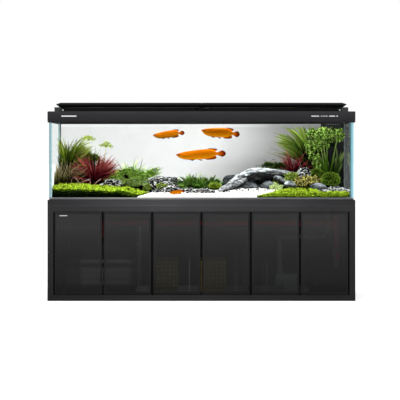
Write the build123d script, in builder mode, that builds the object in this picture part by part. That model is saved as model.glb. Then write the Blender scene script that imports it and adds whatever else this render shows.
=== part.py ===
from build123d import *
import os
from math import atan2, cos, degrees, pi, sin

# Aquarium with a hood and two lighting lids, on a stand with six smoked-glass doors.
# Millimetres, Z up, front towards -Y, origin on the floor under the middle of the stand.

# Stand
stand_length = 2000
stand_depth = 600
frame_height = 618
profile = 38
profile_wall = 2.5
panel_thickness = 6
panel_setback = 8
base_thickness = 18
deck_thickness = 39
deck_edge_radius = 5
mat_thickness = 3

# Openings of the back panel
cable_port_radius = 20
cable_port_from_end = 32
vent_below_rail = 24
vent_gap = 120
vent_height = 8
vent_pitch = 20
vent_rows = 2
vent_groups = 6

# Doors, hinged in pairs on pins between the front rails
door_count = 6
door_gap = 6
door_recess = 3
door_thickness = 20
door_frame_width = 15
door_glass_thickness = 5
door_glass_lip = 2
door_glass_bite = 6
pivot_radius = 3
pivot_engagement = 7
pivot_shank = 10
pivot_collar_radius = 7
pivot_collar_height = 3
running_clearance = 0.05
seat_clearance = 0.3
bore_spare_depth = 0.5
catch_length = 60
catch_height = 18

# Tank
tank_inset = 10
tank_height = 530
glass = 12
brace_width = 60
brace_thickness = 10
brace_drop = 12

# Overflow box in the right rear corner
overflow_length = 140
overflow_depth = 150
overflow_wall = 6
overflow_below_rim = 25
comb_slot = 4
comb_pitch = 12
comb_depth = 34

# Hood
hood_overlap = 31
hood_height = 73
hood_wall = 8
hood_top_thickness = 10
hood_border_ends = 95
hood_border_sides = 75
hood_edge_radius = 6
hood_groove_height = 3
hood_groove_depth = 2
hood_groove_from_bottom = 9
control_length = 182
control_height = 24
control_depth = 2
control_from_end = 200
control_from_top = 31
control_corner = 6
control_sink = 0.5
plate_length = 106
plate_height = 14
plate_depth = 0.8
plate_from_end = 138

# Raised rim on the hood
rim_height = 28
rim_from_ends = 40
rim_from_front = 50
rim_end_width = 42
rim_front_setback = 18
rim_bar_width = 12
rim_bar_drop = 6
rim_rear_width = 26
divider_width = 30
notch_length = 46
notch_depth = 13

# Lids
lid_thickness = 30
lid_tip_height = 19
lid_top_bevel = 28
lid_bottom_bevel = 22
lid_inside_rim_ends = 10
lid_front_overhang = 8
lid_gap = 2
hinge_offset = 6
hinge_pin_radius = 2.5
hinge_lug_length = 40
hinge_ear_thickness = 10
hinge_from_middle = 150
hinge_from_end = 150

# Lamps under the lids
lamp_width = 90
lamp_height = 22
lamp_wall = 3
lamp_diffuser = 4
lamp_end_room = 15
lamp_from_hinge = 260

# Pipes
pipe_radius = 16
pipe_wall = 2.5
pipe_bend = 40
pipe_hole_clearance = 0.5
sleeve_extra = 5
sleeve_length = 46
tee_length = 74
flange_radius = 26
flange_thickness = 8
drain_from_side = 46
drain_from_back = 108
return_from_drain = 60
return_from_back = 46
standpipe_below_rim = 100
nozzle_below_rim = 80
nozzle_reach = 28
drain_run_below_frame = 140
drain_outlet_in_sump = 57
return_run_below_frame = 238

# Sump
sump_from_left = 42
sump_from_right = 232
sump_from_sides = 110
sump_wall = 8
sump_low_below_frame = 340
sump_high_below_frame = 199
sump_high_length = 508
baffle_thickness = 6
baffle_flow_gap = 40
baffle_shares = (0.51, 0.7, 0.735, 0.82)
baffle_drops = (66, 46, 20, 86)
tray_count = 4
tray_end_gap = 17
tray_side_gap = 7
tray_top_room = 110
tray_wall = 4
tray_corner = 18
tray_slot_length = 60
tray_slot_width = 8
tray_slot_columns = 4
tray_slot_rows = 6
pad_share = 0.6
pad_clearance = 1
media_length_share = 0.55
media_side_gap = 32
media_top_room = 78
media_pitch = 26
media_hole = 13

# Return pump
pump_from_sump_end = 200
pump_axis_height = 60
volute_radius = 38
volute_length = 46
cavity_radius = 27
cavity_depth = 34
motor_radius = 40
motor_length = 100
motor_rib_count = 10
motor_rib_depth = 3
foot_width = 84
foot_end_margin = 8
cover_thickness = 6
intake_count = 8
intake_radius = 4
intake_circle = 17
outlet_wall = 5
outlet_height = 74
outlet_socket = 24
outlet_bore_radius = 11
shaft_radius = 3
shaft_bite = 40
hub_radius = 9
vane_count = 6
vane_thickness = 2.5
impeller_side_gap = 3
impeller_tip_gap = 3

# Drain valve
valve_below_frame = 361
valve_body_radius = 27
valve_body_length = 64
valve_edge_radius = 9
valve_socket_length = 24
valve_socket_wall = 5
valve_tail_length = 50
stem_radius = 5
stem_boss_radius = 12
stem_boss_length = 14
stem_bite = 11
lever_length = 64
lever_width = 15
lever_thickness = 10
lever_hub_radius = 13
lever_edge_radius = 2.5

# Ground of the tank, heights above the floor pane
sand_front = 6
sand_rear = 62
left_bank_front = 36
left_bank_terrace = 66
left_bank_slope = 158
left_bank_front_length = 548
left_bank_rear_length = 678
right_bank_front = 12
right_bank_terrace = 53
right_bank_slope = 178
right_bank_front_length = 616
right_bank_rear_length = 418
left_bank_bulge = 45
right_bank_bulge = -60
carpet_thickness = 14
planting_length = 1956
planting_depth = 556
leaf_thickness = 4
leaf_shortest = 0.6
leaf_spread = 1.35
leaf_upright = 0.75
leaf_belly_out = 0.35
leaf_belly_up = 0.62
leaf_order = 0.618
crown_height = 24
bush_flat = 5
bush_widest = 0.45
stone_sections = ((0.88, 0), (1, 0.35), (0.78, 0.78), (0.3, 1))

os.makedirs("parts", exist_ok=True)


def write(builder, name):
    """Labels a finished piece and writes its STEP file."""
    builder.part.label = name
    export_step(builder.part, f"parts/{name}.step")


# Places worked out from the sizes above
half_length = stand_length / 2
half_depth = stand_depth / 2
opening_length = stand_length - 2 * profile
opening_height = frame_height - 2 * profile
door_pitch = opening_length / door_count
door_width = door_pitch - door_gap
door_height = opening_height - 2 * pivot_collar_height
door_middle = profile + opening_height / 2
door_front = half_depth - door_recess
pivot_y = -door_front + door_thickness / 2
deck_top = frame_height + deck_thickness
tank_base = deck_top + mat_thickness
tank_length = stand_length - 2 * tank_inset
tank_depth = stand_depth - 2 * tank_inset
inner_length = tank_length - 2 * glass
inner_depth = tank_depth - 2 * glass
floor_top = tank_base + glass
glass_top = tank_base + tank_height
hood_bottom = glass_top - hood_overlap
hood_top = hood_bottom + hood_height
rim_top = hood_top + rim_height
low = (Align.CENTER, Align.CENTER, Align.MIN)
high = (Align.CENTER, Align.CENTER, Align.MAX)


def tubes(planes, length):
    """Square hollow profiles, one along each plane's normal."""
    with BuildPart() as group:
        for plane in planes:
            with BuildSketch(plane):
                Rectangle(profile, profile)
                Rectangle(profile - 2 * profile_wall, profile - 2 * profile_wall, mode=Mode.SUBTRACT)
            extrude(amount=length)
    return group


# Stand frame
rail_heights = (profile / 2, frame_height - profile / 2)
rail_reach = half_depth - profile / 2
post_reach = half_length - profile / 2


def long_rail_planes(y):
    """The start planes of a lower and an upper rail along X."""
    return [Plane((-opening_length / 2, y, z), x_dir=(0, 1, 0), z_dir=(1, 0, 0)) for z in rail_heights]


def hinge_side(door):
    """-1 where the door hangs on its left edge, 1 on its right."""
    return -1 if door % 2 == 0 else 1


def door_x(door):
    """The middle of a door along X."""
    return -opening_length / 2 + (door + 0.5) * door_pitch


def pivot_x(door):
    """The hinge axis of a door along X."""
    return door_x(door) + hinge_side(door) * (door_width / 2 - door_thickness / 2)


front_tubes = tubes(long_rail_planes(-rail_reach), opening_length)
with BuildPart() as front_rails:
    add(front_tubes.part)
    for door in range(door_count):
        with Locations((pivot_x(door), pivot_y, profile), (pivot_x(door), pivot_y, frame_height - profile)):
            Cylinder(pivot_radius + running_clearance, 2 * pivot_shank, mode=Mode.SUBTRACT)
write(front_rails, "front_rails")

rear_rails = tubes(long_rail_planes(rail_reach), opening_length)
write(rear_rails, "rear_rails")

side_rail_length = stand_depth - 2 * profile
side_rails = tubes(
    [
        Plane((x, -side_rail_length / 2, z), x_dir=(1, 0, 0), z_dir=(0, 1, 0))
        for x in (-post_reach, post_reach)
        for z in rail_heights
    ],
    side_rail_length,
)
write(side_rails, "side_rails")

corner_posts = tubes(
    [Plane((x, y, 0)) for x in (-post_reach, post_reach) for y in (-rail_reach, rail_reach)],
    frame_height,
)
write(corner_posts, "corner_posts")

pair_edges = [-opening_length / 2 + door_pitch * n for n in range(2, door_count, 2)]
mid_post_y = -half_depth + profile + profile / 2
mid_posts = tubes([Plane((x, mid_post_y, profile)) for x in pair_edges], frame_height - profile)
write(mid_posts, "mid_posts")

# Panels of the stand
panel_x = half_length - panel_setback - panel_thickness / 2
with BuildPart() as side_panels:
    with Locations((-panel_x, 0, door_middle), (panel_x, 0, door_middle)):
        Box(panel_thickness, side_rail_length, opening_height)
write(side_panels, "side_panels")

panel_y = half_depth - panel_setback - panel_thickness / 2
vent_spacing = opening_length / vent_groups
vent_length = vent_spacing - vent_gap
with BuildPart() as back_panel:
    with Locations((0, panel_y, door_middle)):
        Box(opening_length, panel_thickness, opening_height)
    with BuildSketch(Plane.XZ.offset(-panel_y)):
        with Locations((0, frame_height - profile - vent_below_rail)):
            with GridLocations(vent_spacing, vent_pitch, vent_groups, vent_rows):
                SlotOverall(vent_length, vent_height)
        port_x = opening_length / 2 - cable_port_from_end
        with Locations((port_x, frame_height - profile - vent_below_rail)):
            Circle(cable_port_radius)
    extrude(amount=panel_thickness, both=True, mode=Mode.SUBTRACT)
write(back_panel, "back_panel")

with BuildPart() as base_panel:
    with Locations((0, 0, profile)):
        Box(opening_length, side_rail_length, base_thickness, align=high)
write(base_panel, "base_panel")

# Drain and return pipes stand inside the overflow box
drain_x = inner_length / 2 - drain_from_side
drain_y = inner_depth / 2 - drain_from_back
return_x = drain_x - return_from_drain
return_y = inner_depth / 2 - return_from_back
pipe_feet = [(drain_x, drain_y), (return_x, return_y)]


def pipe_holes(z, thickness):
    """Cuts the two pipe passages through a board of the current part."""
    with Locations(*[(x, y, z) for x, y in pipe_feet]):
        Cylinder(pipe_radius + pipe_hole_clearance, 2 * thickness, mode=Mode.SUBTRACT)


with BuildPart() as deck:
    with Locations((0, 0, frame_height)):
        Box(stand_length, stand_depth, deck_thickness, align=low)
    fillet(deck.faces().sort_by(Axis.Z)[-1].edges(), deck_edge_radius)
    pipe_holes(frame_height + deck_thickness / 2, deck_thickness)
write(deck, "deck")

with BuildPart() as levelling_mat:
    with Locations((0, 0, deck_top)):
        Box(tank_length, tank_depth, mat_thickness, align=low)
    pipe_holes(deck_top + mat_thickness / 2, mat_thickness)
write(levelling_mat, "levelling_mat")

# Doors
pane_width = door_width - 2 * (door_frame_width - door_glass_bite)
pane_height = door_height - 2 * (door_frame_width - door_glass_bite)


def door_frame(door):
    """A slim frame with a groove for its pane, a rounded hinge edge and two pivot bores."""
    side = hinge_side(door)
    bore_depth = pivot_engagement + bore_spare_depth
    with BuildPart() as frame:
        with BuildSketch(Plane.XZ.offset(door_front)):
            with Locations((door_x(door), door_middle)):
                Rectangle(door_width, door_height)
                Rectangle(
                    door_width - 2 * door_frame_width,
                    door_height - 2 * door_frame_width,
                    mode=Mode.SUBTRACT,
                )
        extrude(amount=-door_thickness)
        front_edges = frame.edges().filter_by(Axis.Z).group_by(Axis.Y)[0]
        fillet(front_edges.sort_by(Axis.X)[0 if side < 0 else -1], door_thickness / 2)
        with BuildSketch(Plane.XZ.offset(door_front - door_glass_lip)):
            with Locations((door_x(door), door_middle)):
                Rectangle(pane_width, pane_height)
        extrude(amount=-door_glass_thickness, mode=Mode.SUBTRACT)
        with Locations((pivot_x(door), pivot_y, door_middle - door_height / 2)):
            Cylinder(pivot_radius + running_clearance, bore_depth, align=low, mode=Mode.SUBTRACT)
        with Locations((pivot_x(door), pivot_y, door_middle + door_height / 2)):
            Cylinder(pivot_radius + running_clearance, bore_depth, align=high, mode=Mode.SUBTRACT)
    return frame


def door_pane(door):
    """The smoked glass that sits in the groove of a door frame."""
    with BuildPart() as pane:
        with BuildSketch(Plane.XZ.offset(door_front - door_glass_lip)):
            with Locations((door_x(door), door_middle)):
                Rectangle(pane_width, pane_height)
        extrude(amount=-door_glass_thickness)
    return pane


for door in range(door_count):
    write(door_frame(door), f"door_{door + 1}_frame")
    write(door_pane(door), f"door_{door + 1}_glass")

with BuildPart() as door_pivots:
    for door in range(door_count):
        with Locations((pivot_x(door), pivot_y, profile)):
            Cylinder(pivot_collar_radius, pivot_collar_height, align=low)
            Cylinder(pivot_radius, pivot_collar_height + pivot_engagement, align=low)
            Cylinder(pivot_radius, pivot_shank, align=high)
        with Locations((pivot_x(door), pivot_y, frame_height - profile)):
            Cylinder(pivot_collar_radius, pivot_collar_height, align=high)
            Cylinder(pivot_radius, pivot_collar_height + pivot_engagement, align=high)
            Cylinder(pivot_radius, pivot_shank, align=low)
write(door_pivots, "door_pivots")

catch_back = half_depth - profile
catch_front = door_front - door_thickness - seat_clearance
catch_y = -(catch_front + catch_back) / 2
meeting_edges = [-opening_length / 2 + door_pitch * n for n in range(1, door_count, 2)]
with BuildPart() as door_catches:
    with Locations(*[(x, catch_y, frame_height - profile) for x in meeting_edges]):
        Box(catch_length, catch_front - catch_back, catch_height, align=high)
write(door_catches, "door_catches")


# Tank
def pane_box(x, y, length, depth):
    """An upright pane of the tank in the current part."""
    with Locations((x, y, floor_top)):
        Box(length, depth, tank_height - glass, align=low)


with BuildPart() as tank_floor:
    with Locations((0, 0, tank_base)):
        Box(tank_length, tank_depth, glass, align=low)
    pipe_holes(tank_base + glass / 2, glass)
write(tank_floor, "tank_floor")

for name, y in (("tank_front", -(tank_depth - glass) / 2), ("tank_back", (tank_depth - glass) / 2)):
    with BuildPart() as pane:
        pane_box(0, y, tank_length, glass)
    write(pane, name)

with BuildPart() as tank_ends:
    for x in (-(tank_length - glass) / 2, (tank_length - glass) / 2):
        pane_box(x, 0, glass, inner_depth)
write(tank_ends, "tank_ends")

brace_y = inner_depth / 2 - brace_width / 2
with BuildPart() as tank_braces:
    with Locations((0, -brace_y, glass_top - brace_drop), (0, brace_y, glass_top - brace_drop)):
        Box(inner_length, brace_width, brace_thickness, align=high)
write(tank_braces, "tank_braces")

# Overflow box, two walls of one bent sheet with a comb along the top
overflow_left = inner_length / 2 - overflow_length
overflow_front = inner_depth / 2 - overflow_depth
overflow_top = glass_top - overflow_below_rim
nozzle_height = glass_top - nozzle_below_rim
comb_plane = Plane.XY.offset(overflow_top - comb_depth)
front_slots = int((overflow_length - 2 * comb_pitch) / comb_pitch)
side_slots = int((overflow_depth - 2 * comb_pitch) / comb_pitch)
wall_cut = 3 * overflow_wall
with BuildPart() as overflow_box:
    with BuildSketch(Plane.XY.offset(floor_top)):
        with Locations((overflow_left, overflow_front)):
            Rectangle(overflow_length, overflow_depth, align=(Align.MIN, Align.MIN))
        with Locations((overflow_left + overflow_wall, overflow_front + overflow_wall)):
            Rectangle(overflow_length, overflow_depth, align=(Align.MIN, Align.MIN), mode=Mode.SUBTRACT)
    extrude(amount=overflow_top - floor_top)
    with BuildSketch(comb_plane):
        with Locations((overflow_left, overflow_front + overflow_depth / 2)):
            with GridLocations(1, comb_pitch, 1, side_slots):
                Rectangle(wall_cut, comb_slot)
        with Locations((overflow_left + overflow_length / 2, overflow_front)):
            with GridLocations(comb_pitch, 1, front_slots, 1):
                Rectangle(comb_slot, wall_cut)
    extrude(amount=comb_depth, mode=Mode.SUBTRACT)
    with BuildSketch(Plane.XZ.offset(-overflow_front)):
        with Locations((return_x, nozzle_height)):
            Circle(pipe_radius + pipe_hole_clearance)
    extrude(amount=wall_cut, both=True, mode=Mode.SUBTRACT)
write(overflow_box, "overflow_box")

# Hood frame, open in the middle, standing on the edges of the glass
rib_height = hood_top - hood_top_thickness - glass_top
hood_cavity = hood_height - hood_top_thickness
control_x = half_length - control_from_end
control_z = hood_top - control_from_top
groove_z = hood_bottom + hood_groove_from_bottom
with BuildPart() as hood_frame:
    with Locations((0, 0, hood_bottom)):
        Box(stand_length, stand_depth, hood_height, align=low)
    levels = hood_frame.faces().sort_by(Axis.Z)
    fillet(levels[-1].edges() + levels[0].edges(), hood_edge_radius)
    with Locations((0, 0, hood_bottom)):
        Box(
            stand_length - 2 * hood_wall,
            stand_depth - 2 * hood_wall,
            hood_cavity,
            align=low,
            mode=Mode.SUBTRACT,
        )
    with BuildSketch(Plane.XY.offset(glass_top)):
        Rectangle(tank_length, tank_depth)
        Rectangle(inner_length, inner_depth, mode=Mode.SUBTRACT)
    extrude(amount=rib_height)
    with Locations((0, 0, hood_bottom)):
        Box(
            stand_length - 2 * hood_border_ends,
            stand_depth - 2 * hood_border_sides,
            2 * hood_height,
            align=low,
            mode=Mode.SUBTRACT,
        )
    with BuildSketch(Plane.XY.offset(groove_z)):
        Rectangle(2 * stand_length, 2 * stand_depth)
        Rectangle(
            stand_length - 2 * hood_groove_depth,
            stand_depth - 2 * hood_groove_depth,
            mode=Mode.SUBTRACT,
        )
    extrude(amount=hood_groove_height, mode=Mode.SUBTRACT)
    with BuildSketch(Plane.XZ.offset(half_depth)):
        with Locations((control_x, control_z)):
            RectangleRounded(control_length, control_height, control_corner)
    extrude(amount=-control_depth, mode=Mode.SUBTRACT)
    with Locations((plate_from_end - half_length, -half_depth, control_z)):
        Box(plate_length, 2 * plate_depth, plate_height, mode=Mode.SUBTRACT)
write(hood_frame, "hood_frame")

with BuildPart() as control_panel:
    with BuildSketch(Plane.XZ.offset(half_depth - control_depth)):
        with Locations((control_x, control_z)):
            RectangleRounded(control_length, control_height, control_corner)
    extrude(amount=control_depth - control_sink)
write(control_panel, "control_panel")

# Lids, two halves of one slab with a pointed edge, square at the rear and at the middle
rim_half = half_length - rim_from_ends
rim_front = half_depth - rim_from_front
lid_half = rim_half - lid_inside_rim_ends
lid_front = rim_front + lid_front_overhang
lid_rear = half_depth - hood_border_sides + hinge_offset
tip_plane = Plane.XY.offset(rim_top + lid_tip_height)
top_taper = degrees(atan2(lid_top_bevel, lid_thickness - lid_tip_height))
bottom_taper = degrees(atan2(lid_bottom_bevel, lid_tip_height))
hinge_y = lid_rear + hinge_offset
hinge_z = rim_top + hinge_offset
hinge_stations = (hinge_from_middle, lid_half - hinge_from_end)


def hinge_rods(stations, radius, length, mode):
    """Rods along the hinge axis of the lids, in the current part."""
    with Locations(*[Location((x, hinge_y, hinge_z), (0, 90, 0)) for x in stations]):
        Cylinder(radius, length, mode=mode)


def lid(side):
    """One lid with its two hinge lugs. side is -1 on the left and 1 on the right."""
    stations = [side * x for x in hinge_stations]
    with BuildPart() as slab:
        with BuildSketch(tip_plane):
            with Locations((0, -lid_front)):
                Rectangle(2 * lid_half, 2 * lid_front, align=(Align.CENTER, Align.MIN))
        extrude(amount=lid_thickness - lid_tip_height, taper=top_taper)
        with BuildSketch(tip_plane):
            with Locations((0, -lid_front)):
                Rectangle(2 * lid_half, 2 * lid_front, align=(Align.CENTER, Align.MIN))
        extrude(amount=-lid_tip_height, taper=bottom_taper)
        split(bisect_by=Plane.XZ.offset(-lid_rear), keep=Keep.TOP)
        split(bisect_by=Plane.YZ.offset(side * lid_gap / 2), keep=Keep.TOP if side > 0 else Keep.BOTTOM)
        with Locations(*[(x, lid_rear, rim_top) for x in stations]):
            Box(hinge_lug_length, 2 * hinge_offset, 2 * hinge_offset, align=low)
        hinge_rods(stations, hinge_offset, hinge_lug_length, Mode.ADD)
        hinge_rods(stations, hinge_pin_radius + running_clearance, 2 * hinge_lug_length, Mode.SUBTRACT)
    return slab


lid_left = lid(-1)
write(lid_left, "lid_left")
lid_right = lid(1)
write(lid_right, "lid_right")

# Rim under the lids: end blocks, a front bar with finger notches, a middle divider, a rear bar with ears
ear_radius = hinge_offset - bore_spare_depth
ear_spacing = hinge_lug_length / 2 + seat_clearance + hinge_ear_thickness / 2
hinge_places = [side * x for side in (-1, 1) for x in hinge_stations]
ear_places = [x + step for x in hinge_places for step in (-ear_spacing, ear_spacing)]
bar_height = rim_height - rim_bar_drop
bar_front = rim_front - rim_front_setback
rim_rear = hinge_y + ear_radius
with BuildPart() as hood_rim:
    with BuildSketch(Plane.XY.offset(hood_top)):
        with Locations((-rim_half, -rim_front)):
            Rectangle(rim_end_width, rim_front + rim_rear, align=(Align.MIN, Align.MIN))
        with Locations((rim_half, -rim_front)):
            Rectangle(rim_end_width, rim_front + rim_rear, align=(Align.MAX, Align.MIN))
        with Locations((0, -bar_front)):
            Rectangle(divider_width, bar_front + rim_rear - rim_rear_width, align=(Align.CENTER, Align.MIN))
    extrude(amount=rim_height)
    with BuildSketch(Plane.XY.offset(hood_top)):
        with Locations((0, -bar_front)):
            Rectangle(2 * rim_half - rim_end_width, rim_bar_width, align=(Align.CENTER, Align.MIN))
    extrude(amount=bar_height)
    with BuildSketch(Plane.XY.offset(hood_top)):
        with Locations((0, rim_rear)):
            Rectangle(2 * rim_half - rim_end_width, rim_rear_width, align=(Align.CENTER, Align.MAX))
    extrude(amount=rim_height - seat_clearance)
    for side in (-1, 1):
        with Locations((side * (divider_width + notch_length) / 2, -bar_front, hood_top + bar_height)):
            Box(notch_length, 2 * rim_bar_width, notch_depth, align=high, mode=Mode.SUBTRACT)
    with Locations(*[(x, hinge_y, hood_top) for x in ear_places]):
        Box(hinge_ear_thickness, 2 * ear_radius, rim_height + hinge_offset, align=low)
    hinge_rods(ear_places, ear_radius, hinge_ear_thickness, Mode.ADD)
    hinge_rods(ear_places, hinge_pin_radius + running_clearance, 2 * hinge_ear_thickness, Mode.SUBTRACT)
write(hood_rim, "hood_rim")

with BuildPart() as lid_hinge_pins:
    hinge_rods(hinge_places, hinge_pin_radius, hinge_lug_length + 2 * hinge_ear_thickness, Mode.ADD)
write(lid_hinge_pins, "lid_hinge_pins")

# Lamps, a channel under each lid closed by a diffuser
lamp_inner = divider_width / 2 + lamp_end_room
lamp_outer = rim_half - rim_end_width - lamp_end_room
lamp_y = lid_rear - lamp_from_hinge
for side, name in ((-1, "left"), (1, "right")):
    start = Plane((side * lamp_inner, lamp_y, rim_top), x_dir=(0, side, 0), z_dir=(side, 0, 0))
    with BuildPart() as lamp_housing:
        with BuildSketch(start):
            Rectangle(lamp_width, lamp_height, align=(Align.CENTER, Align.MAX))
            with Locations((0, -lamp_wall)):
                Rectangle(
                    lamp_width - 2 * lamp_wall,
                    lamp_height,
                    align=(Align.CENTER, Align.MAX),
                    mode=Mode.SUBTRACT,
                )
        extrude(amount=lamp_outer - lamp_inner)
    write(lamp_housing, f"lamp_housing_{name}")
    with BuildPart() as lamp_diffuser_strip:
        with BuildSketch(start):
            with Locations((0, -lamp_height)):
                Rectangle(lamp_width - 2 * lamp_wall, lamp_diffuser, align=(Align.CENTER, Align.MIN))
        extrude(amount=lamp_outer - lamp_inner)
    write(lamp_diffuser_strip, f"lamp_diffuser_{name}")

# Sump, a glued tank with a high trickle end on the left
sump_left = -opening_length / 2 + sump_from_left
sump_right = opening_length / 2 - sump_from_right
sump_length = sump_right - sump_left
sump_depth = stand_depth - 2 * sump_from_sides
sump_low_height = frame_height - sump_low_below_frame
sump_high_height = frame_height - sump_high_below_frame
sump_floor = profile + sump_wall


def sump_outline(margin):
    """The stepped outline of the sump seen from the front, drawn inside by a margin."""
    left = sump_left + margin
    right = sump_right - margin
    step = sump_left + sump_high_length
    bottom = profile + margin
    top_low = profile + sump_low_height
    top_high = profile + sump_high_height
    Polyline(
        (left, bottom),
        (right, bottom),
        (right, top_low),
        (step, top_low),
        (step, top_high),
        (left, top_high),
        close=True,
    )


with BuildPart() as sump_tank:
    with BuildSketch(Plane.XZ.offset(sump_depth / 2)):
        with BuildLine():
            sump_outline(0)
        make_face()
    extrude(amount=-sump_depth)
    with BuildSketch(Plane.XZ.offset(sump_depth / 2 - sump_wall)):
        with BuildLine():
            sump_outline(sump_wall)
        make_face()
    extrude(amount=-(sump_depth - 2 * sump_wall), mode=Mode.SUBTRACT)
write(sump_tank, "sump_tank")

# Baffles of the sump: the first closes the trickle end, and water passes under it and under the fourth
baffle_places = [sump_high_length - baffle_thickness / 2] + [share * sump_length for share in baffle_shares]
baffle_tops = [sump_low_height - sump_high_height] + list(baffle_drops)
baffle_gaps = (baffle_flow_gap, 0, 0, baffle_flow_gap, 0)
with BuildPart() as sump_baffles:
    for place, gap, drop in zip(baffle_places, baffle_gaps, baffle_tops):
        with Locations((sump_left + place, 0, sump_floor + gap)):
            Box(
                baffle_thickness,
                sump_depth - 2 * sump_wall,
                sump_low_height - sump_wall - drop - gap,
                align=low,
            )
write(sump_baffles, "sump_baffles")

# Filter trays stacked in the trickle end, each with a pad
tray_x = sump_left + sump_wall + (sump_high_length - sump_wall - baffle_thickness) / 2
tray_length = sump_high_length - sump_wall - baffle_thickness - 2 * tray_end_gap
tray_depth = sump_depth - 2 * sump_wall - 2 * tray_side_gap
tray_pitch = (sump_high_height - sump_wall - tray_top_room) / tray_count
tray_height = tray_pitch - seat_clearance
tray_levels = [sump_floor + n * tray_pitch for n in range(tray_count)]
slot_pitch = (tray_length - 2 * tray_corner) / tray_slot_columns
slot_row_pitch = (tray_depth - 2 * tray_corner) / tray_slot_rows
with BuildPart() as filter_trays:
    for z in tray_levels:
        with BuildSketch(Plane((tray_x, 0, z))):
            RectangleRounded(tray_length, tray_depth, tray_corner)
            with GridLocations(slot_pitch, slot_row_pitch, tray_slot_columns, tray_slot_rows):
                SlotOverall(tray_slot_length, tray_slot_width, mode=Mode.SUBTRACT)
        extrude(amount=tray_wall)
        with BuildSketch(Plane((tray_x, 0, z + tray_wall))):
            RectangleRounded(tray_length, tray_depth, tray_corner)
            RectangleRounded(
                tray_length - 2 * tray_wall,
                tray_depth - 2 * tray_wall,
                tray_corner - tray_wall,
                mode=Mode.SUBTRACT,
            )
        extrude(amount=tray_height - tray_wall)
write(filter_trays, "filter_trays")

pad_margin = 2 * (tray_wall + pad_clearance)
with BuildPart() as filter_pads:
    for z in tray_levels:
        with BuildSketch(Plane((tray_x, 0, z + tray_wall))):
            RectangleRounded(tray_length - pad_margin, tray_depth - pad_margin, tray_corner - tray_wall)
        extrude(amount=pad_share * tray_height)
write(filter_pads, "filter_pads")

# Blocks of bio media, each in the middle of its chamber
media_depth = sump_depth - 2 * sump_wall - 2 * media_side_gap
media_height = sump_low_height - media_top_room
media_rows = int(media_height / media_pitch)
with BuildPart() as media_blocks:
    for start, end in zip(baffle_places[:2], baffle_places[1:3]):
        media_length = media_length_share * (end - start)
        media_columns = int(media_length / media_pitch)
        place = (sump_left + (start + end) / 2, -media_depth / 2, sump_floor)
        with BuildSketch(Plane(place, x_dir=(1, 0, 0), z_dir=(0, -1, 0))):
            with Locations((0, media_height / 2)):
                Rectangle(media_length, media_height)
                with GridLocations(media_pitch, media_pitch, media_columns, media_rows):
                    Rectangle(media_hole, media_hole, mode=Mode.SUBTRACT)
        extrude(amount=-media_depth)
write(media_blocks, "media_blocks")

# Return pump, its axis along X and its outlet upwards
outlet_x = sump_right - pump_from_sump_end
pump_z = sump_floor + pump_axis_height
volute_left = outlet_x - volute_length / 2
volute_right = outlet_x + volute_length / 2
outlet_top = pump_z + outlet_height
pump_axis_plane = Plane((volute_left, 0, pump_z), x_dir=(0, 1, 0), z_dir=(1, 0, 0))
with BuildPart() as pump_body:
    with BuildSketch(pump_axis_plane):
        Circle(volute_radius)
    extrude(amount=volute_length)
    with BuildSketch(pump_axis_plane.offset(volute_length)):
        Circle(motor_radius)
        with PolarLocations(motor_radius, motor_rib_count):
            Circle(motor_rib_depth)
    extrude(amount=motor_length)
    with Locations((volute_right + motor_length / 2, 0, sump_floor)):
        Box(motor_length - 2 * foot_end_margin, foot_width, pump_axis_height, align=low)
    with Locations((outlet_x, 0, pump_z)):
        Cylinder(pipe_radius + seat_clearance + outlet_wall, outlet_height, align=low)
    with BuildSketch(pump_axis_plane):
        Circle(cavity_radius)
    extrude(amount=cavity_depth, mode=Mode.SUBTRACT)
    with BuildSketch(pump_axis_plane):
        Circle(shaft_radius + running_clearance)
    extrude(amount=cavity_depth + shaft_bite, mode=Mode.SUBTRACT)
    with Locations((outlet_x, 0, outlet_top)):
        Cylinder(pipe_radius + seat_clearance, outlet_socket, align=high, mode=Mode.SUBTRACT)
        Cylinder(outlet_bore_radius, outlet_height, align=high, mode=Mode.SUBTRACT)
write(pump_body, "pump_body")

cover_plane = pump_axis_plane.offset(-cover_thickness)
with BuildPart() as pump_cover:
    with BuildSketch(cover_plane):
        Circle(volute_radius)
        with PolarLocations(intake_circle, intake_count):
            Circle(intake_radius, mode=Mode.SUBTRACT)
    extrude(amount=cover_thickness)
    with BuildSketch(pump_axis_plane):
        Circle(shaft_radius + running_clearance)
    extrude(amount=-cover_thickness / 2, mode=Mode.SUBTRACT)
write(pump_cover, "pump_cover")

vane_reach = cavity_radius - impeller_tip_gap
vane_length = cavity_depth - 2 * impeller_side_gap
shaft_start = pump_axis_plane.offset(-cover_thickness / 2 + seat_clearance)
shaft_length = cover_thickness / 2 + cavity_depth + shaft_bite - 2 * seat_clearance
with BuildPart() as pump_impeller:
    with BuildSketch(shaft_start):
        Circle(shaft_radius)
    extrude(amount=shaft_length)
    with BuildSketch(pump_axis_plane.offset(impeller_side_gap)):
        Circle(hub_radius)
        with PolarLocations(vane_reach / 2, vane_count):
            Rectangle(vane_reach, vane_thickness)
    extrude(amount=vane_length)
write(pump_impeller, "pump_impeller")


# Pipes
def pipe_profile(radius):
    """A ring of the pipe's wall, in the current sketch."""
    Circle(radius)
    Circle(radius - pipe_wall, mode=Mode.SUBTRACT)


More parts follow.
